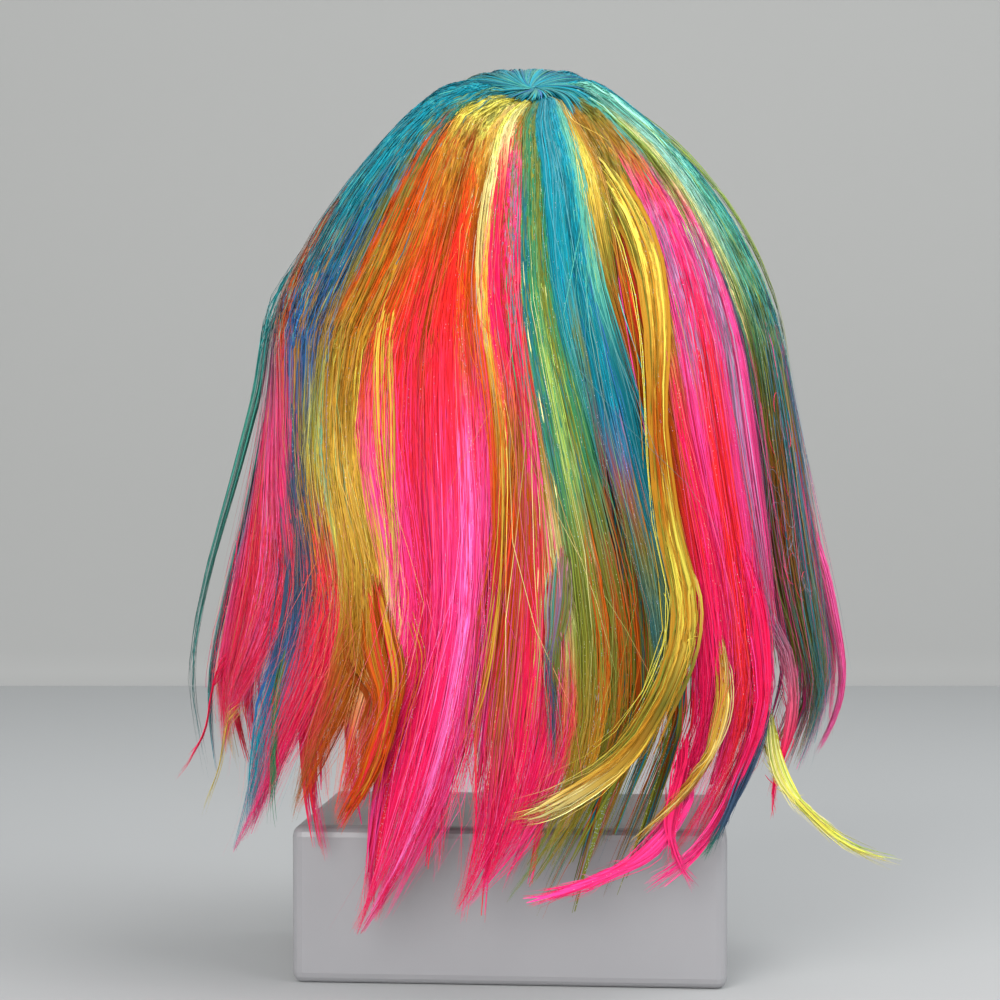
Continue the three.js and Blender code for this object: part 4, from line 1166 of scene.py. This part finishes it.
def hair_material():
    """Glossy synthetic fibre: each strand has its colour, with fine streaks of a second one along it and,
    on some, painted glints of a third: pale specks that stand in for the sparkle of tinsel"""
    material = new_material("hair_fibre", {"Roughness": 0.32, "Specular IOR Level": 0.5, "Anisotropic": 0.6,
                                           "Anisotropic Rotation": 0.25})
    attributes = []
    for name in (*COLOUR_ATTRIBUTES.values(), "streak_place"):
        attribute = new_node(material, "Attribute", {})
        attribute.attribute_name = name
        attributes.append(attribute)
    colour, streak, glint, place = attributes
    noise = new_node(material, "TexNoise", {"Scale": 1, "Detail": 1})
    noise.noise_dimensions = "2D"
    streak_ramp = new_ramp(material, (STREAK_FROM, BLACK), (STREAK_FULL, WHITE))
    # Painted glints: pale specks along the streaks paint the sparkle of tinsel into the base colour
    stretch = new_node(material, "Mapping", {"Scale": (PAINTED_GLINTS_PER_STREAK, 1, 1)})
    cells = new_node(material, "TexVoronoi", {"Scale": 1})
    cells.voronoi_dimensions = "2D"
    glint_ramp = new_ramp(material, (GLINT_FULL, WHITE), (GLINT_TO, BLACK))
    streaked, glinting = new_node(material, "Mix", {}), new_node(material, "Mix", {})
    streaked.data_type = "RGBA"
    glinting.data_type = "RGBA"
    bump = new_node(material, "Bump", {"Strength": 0.2, "Distance": 0.0004})
    tangent = new_node(material, "Tangent", {})
    tangent.direction_type = "UV_MAP"
    tangent.uv_map = MAP_NAME
    shader = shader_of(material)
    join(material,
         (place, "Vector", noise, "Vector"),
         (noise, "Fac", streak_ramp, "Fac"),
         (streak_ramp, "Color", streaked, "Factor"),
         (colour, "Color", streaked, "A"),
         (streak, "Color", streaked, "B"),
         (place, "Vector", stretch, "Vector"),
         (stretch, "Vector", cells, "Vector"),
         (cells, "Distance", glint_ramp, "Fac"),
         (glint_ramp, "Color", glinting, "Factor"),
         (streaked, "Result", glinting, "A"),
         (glint, "Color", glinting, "B"),
         (glinting, "Result", shader, "Base Color"),
         (glinting, "Result", shader, "Specular Tint"),
         (noise, "Fac", bump, "Height"),
         (bump, "Normal", shader, "Normal"),
         (tangent, "Tangent", shader, "Tangent"))
    return material


def place_piece(mesh, node):
    """Puts a mesh in the place of a solid"""
    piece = bpy.data.objects.new(mesh.name, mesh)
    bpy.context.scene.collection.objects.link(piece)
    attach(piece, "root")
    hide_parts(node)


def noise_colour(material, scale, detail, low, high):
    """Lets a soft noise move a material's colour between two near shades"""
    place = new_node(material, "TexCoord", {})
    noise = new_node(material, "TexNoise", {"Scale": scale, "Detail": detail})
    ramp = new_ramp(material, (0, low), (1, high))
    join(material,
         (place, "Object", noise, "Vector"),
         (noise, "Fac", ramp, "Fac"),
         (ramp, "Color", shader_of(material), "Base Color"))


def net_material():
    """Dark elastic net of the cap, with painted shade in the holes between its threads"""
    material = new_material("cap_net", {"Roughness": 0.85})
    place = new_node(material, "TexCoord", {})
    cells = new_node(material, "TexVoronoi", {"Scale": NET_CELLS})
    cells.feature = "DISTANCE_TO_EDGE"
    ramp = new_ramp(material, (THREAD_TO, NET_THREAD), (GAP_FROM, NET_HOLE_SHADE))
    join(material,
         (place, "Object", cells, "Vector"),
         (cells, "Distance", ramp, "Fac"),
         (ramp, "Color", shader_of(material), "Base Color"))
    return material


def box_material():
    """Milky white plastic with a satin surface"""
    material = new_material("box_plastic", {"Roughness": 0.32, "Subsurface Weight": 0.25,
                                            "Subsurface Radius": (0.02, 0.02, 0.02)})
    noise_colour(material, *BOX_NOISE, BOX_DARK, BOX_LIGHT)
    return material


def set_material(node, material):
    """Gives a solid that stays a material"""
    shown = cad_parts[node]
    shown.data.materials.clear()
    shown.data.materials.append(material)


def sheet(name, corners, colour):
    """A flat piece of the stage"""
    mesh = bpy.data.meshes.new(name)
    mesh.from_pydata(corners, [], [range(len(corners))])
    material = new_material(name, {"Roughness": 0.7})
    noise_colour(material, *STAGE_NOISE, [STAGE_SHADE * channel for channel in colour], colour)
    mesh.materials.append(material)
    thing = bpy.data.objects.new(name, mesh)
    bpy.context.scene.collection.objects.link(thing)


# Camera
camera = bpy.data.objects.new("camera", bpy.data.cameras.new("camera"))
camera.data.lens = CAMERA_LENS
camera.data.sensor_width = CAMERA_SENSOR
camera.location = CAMERA_PLACE
camera.rotation_euler = (math.pi / 2, 0, 0)
bpy.context.scene.collection.objects.link(camera)
bpy.context.scene.camera = camera

# Hair, each piece with its ribbons first and its fibres after them
fibre_material = hair_material()
KINDS = (True, False)
parts_of = {"under_hair": [strand_arrays(under_strands(ribbon)) for ribbon in KINDS] + [body_arrays()],
            "crown_whorl": [strand_arrays(whorl_strands())]}
for lock_index, lock in enumerate(LOCKS):
    parts_of[lock["name"]] = [strand_arrays(lock_strands(lock_index, ribbon)) for ribbon in KINDS]
for lock in LOOSE_LOCKS:
    look = LOOSE_LOOKS[lock["name"]]
    parts_of[lock["name"]] = [strand_arrays(loose_strands(lock, look, ribbon)) for ribbon in KINDS]
for wisp in WISPS:
    parts_of[wisp["name"]].append(strand_arrays(loose_strands(wisp, (wisp["stops"], ()), False)))
for curl in CURLS:
    parts_of[curl["name"]].append(strand_arrays(curl_strands(curl)))
for node, parts in parts_of.items():
    mesh = make_mesh("fibres_" + node, parts)
    mesh.materials.append(fibre_material)
    place_piece(mesh, node)

# Cap and box keep their solids
set_material("wig_cap", net_material())
set_material("display_box", box_material())

# Floor and backdrop
sheet("floor", [(STAGE_LEFT, FLOOR_FRONT, 0), (STAGE_RIGHT, FLOOR_FRONT, 0),
                (STAGE_RIGHT, FLOOR_BACK, 0), (STAGE_LEFT, FLOOR_BACK, 0)], FLOOR_COLOUR)
sheet("backdrop", [(STAGE_LEFT, BACKDROP_Y, BACKDROP_LOW), (STAGE_RIGHT, BACKDROP_Y, BACKDROP_LOW),
                   (STAGE_RIGHT, BACKDROP_Y, BACKDROP_HIGH), (STAGE_LEFT, BACKDROP_Y, BACKDROP_HIGH)],
      BACKDROP_COLOUR)

# Lights
for light in LIGHTS:
    lamp = bpy.data.lights.new(light["name"], "AREA")
    lamp.size = light["size"]
    lamp.energy = light["power"]
    lamp.color = light["colour"]
    holder = bpy.data.objects.new(light["name"], lamp)
    holder.location = light["place"]
    aim = Vector(light["target"]) - holder.location
    holder.rotation_euler = aim.to_track_quat("-Z", "Y").to_euler()
    bpy.context.scene.collection.objects.link(holder)
world = bpy.data.worlds.new("room")
world.use_nodes = True
set_inputs(world.node_tree.nodes["Background"], {"Color": ROOM_COLOUR, "Strength": ROOM_STRENGTH})
bpy.context.scene.world = world
bpy.context.scene.view_settings.view_transform = "Standard"
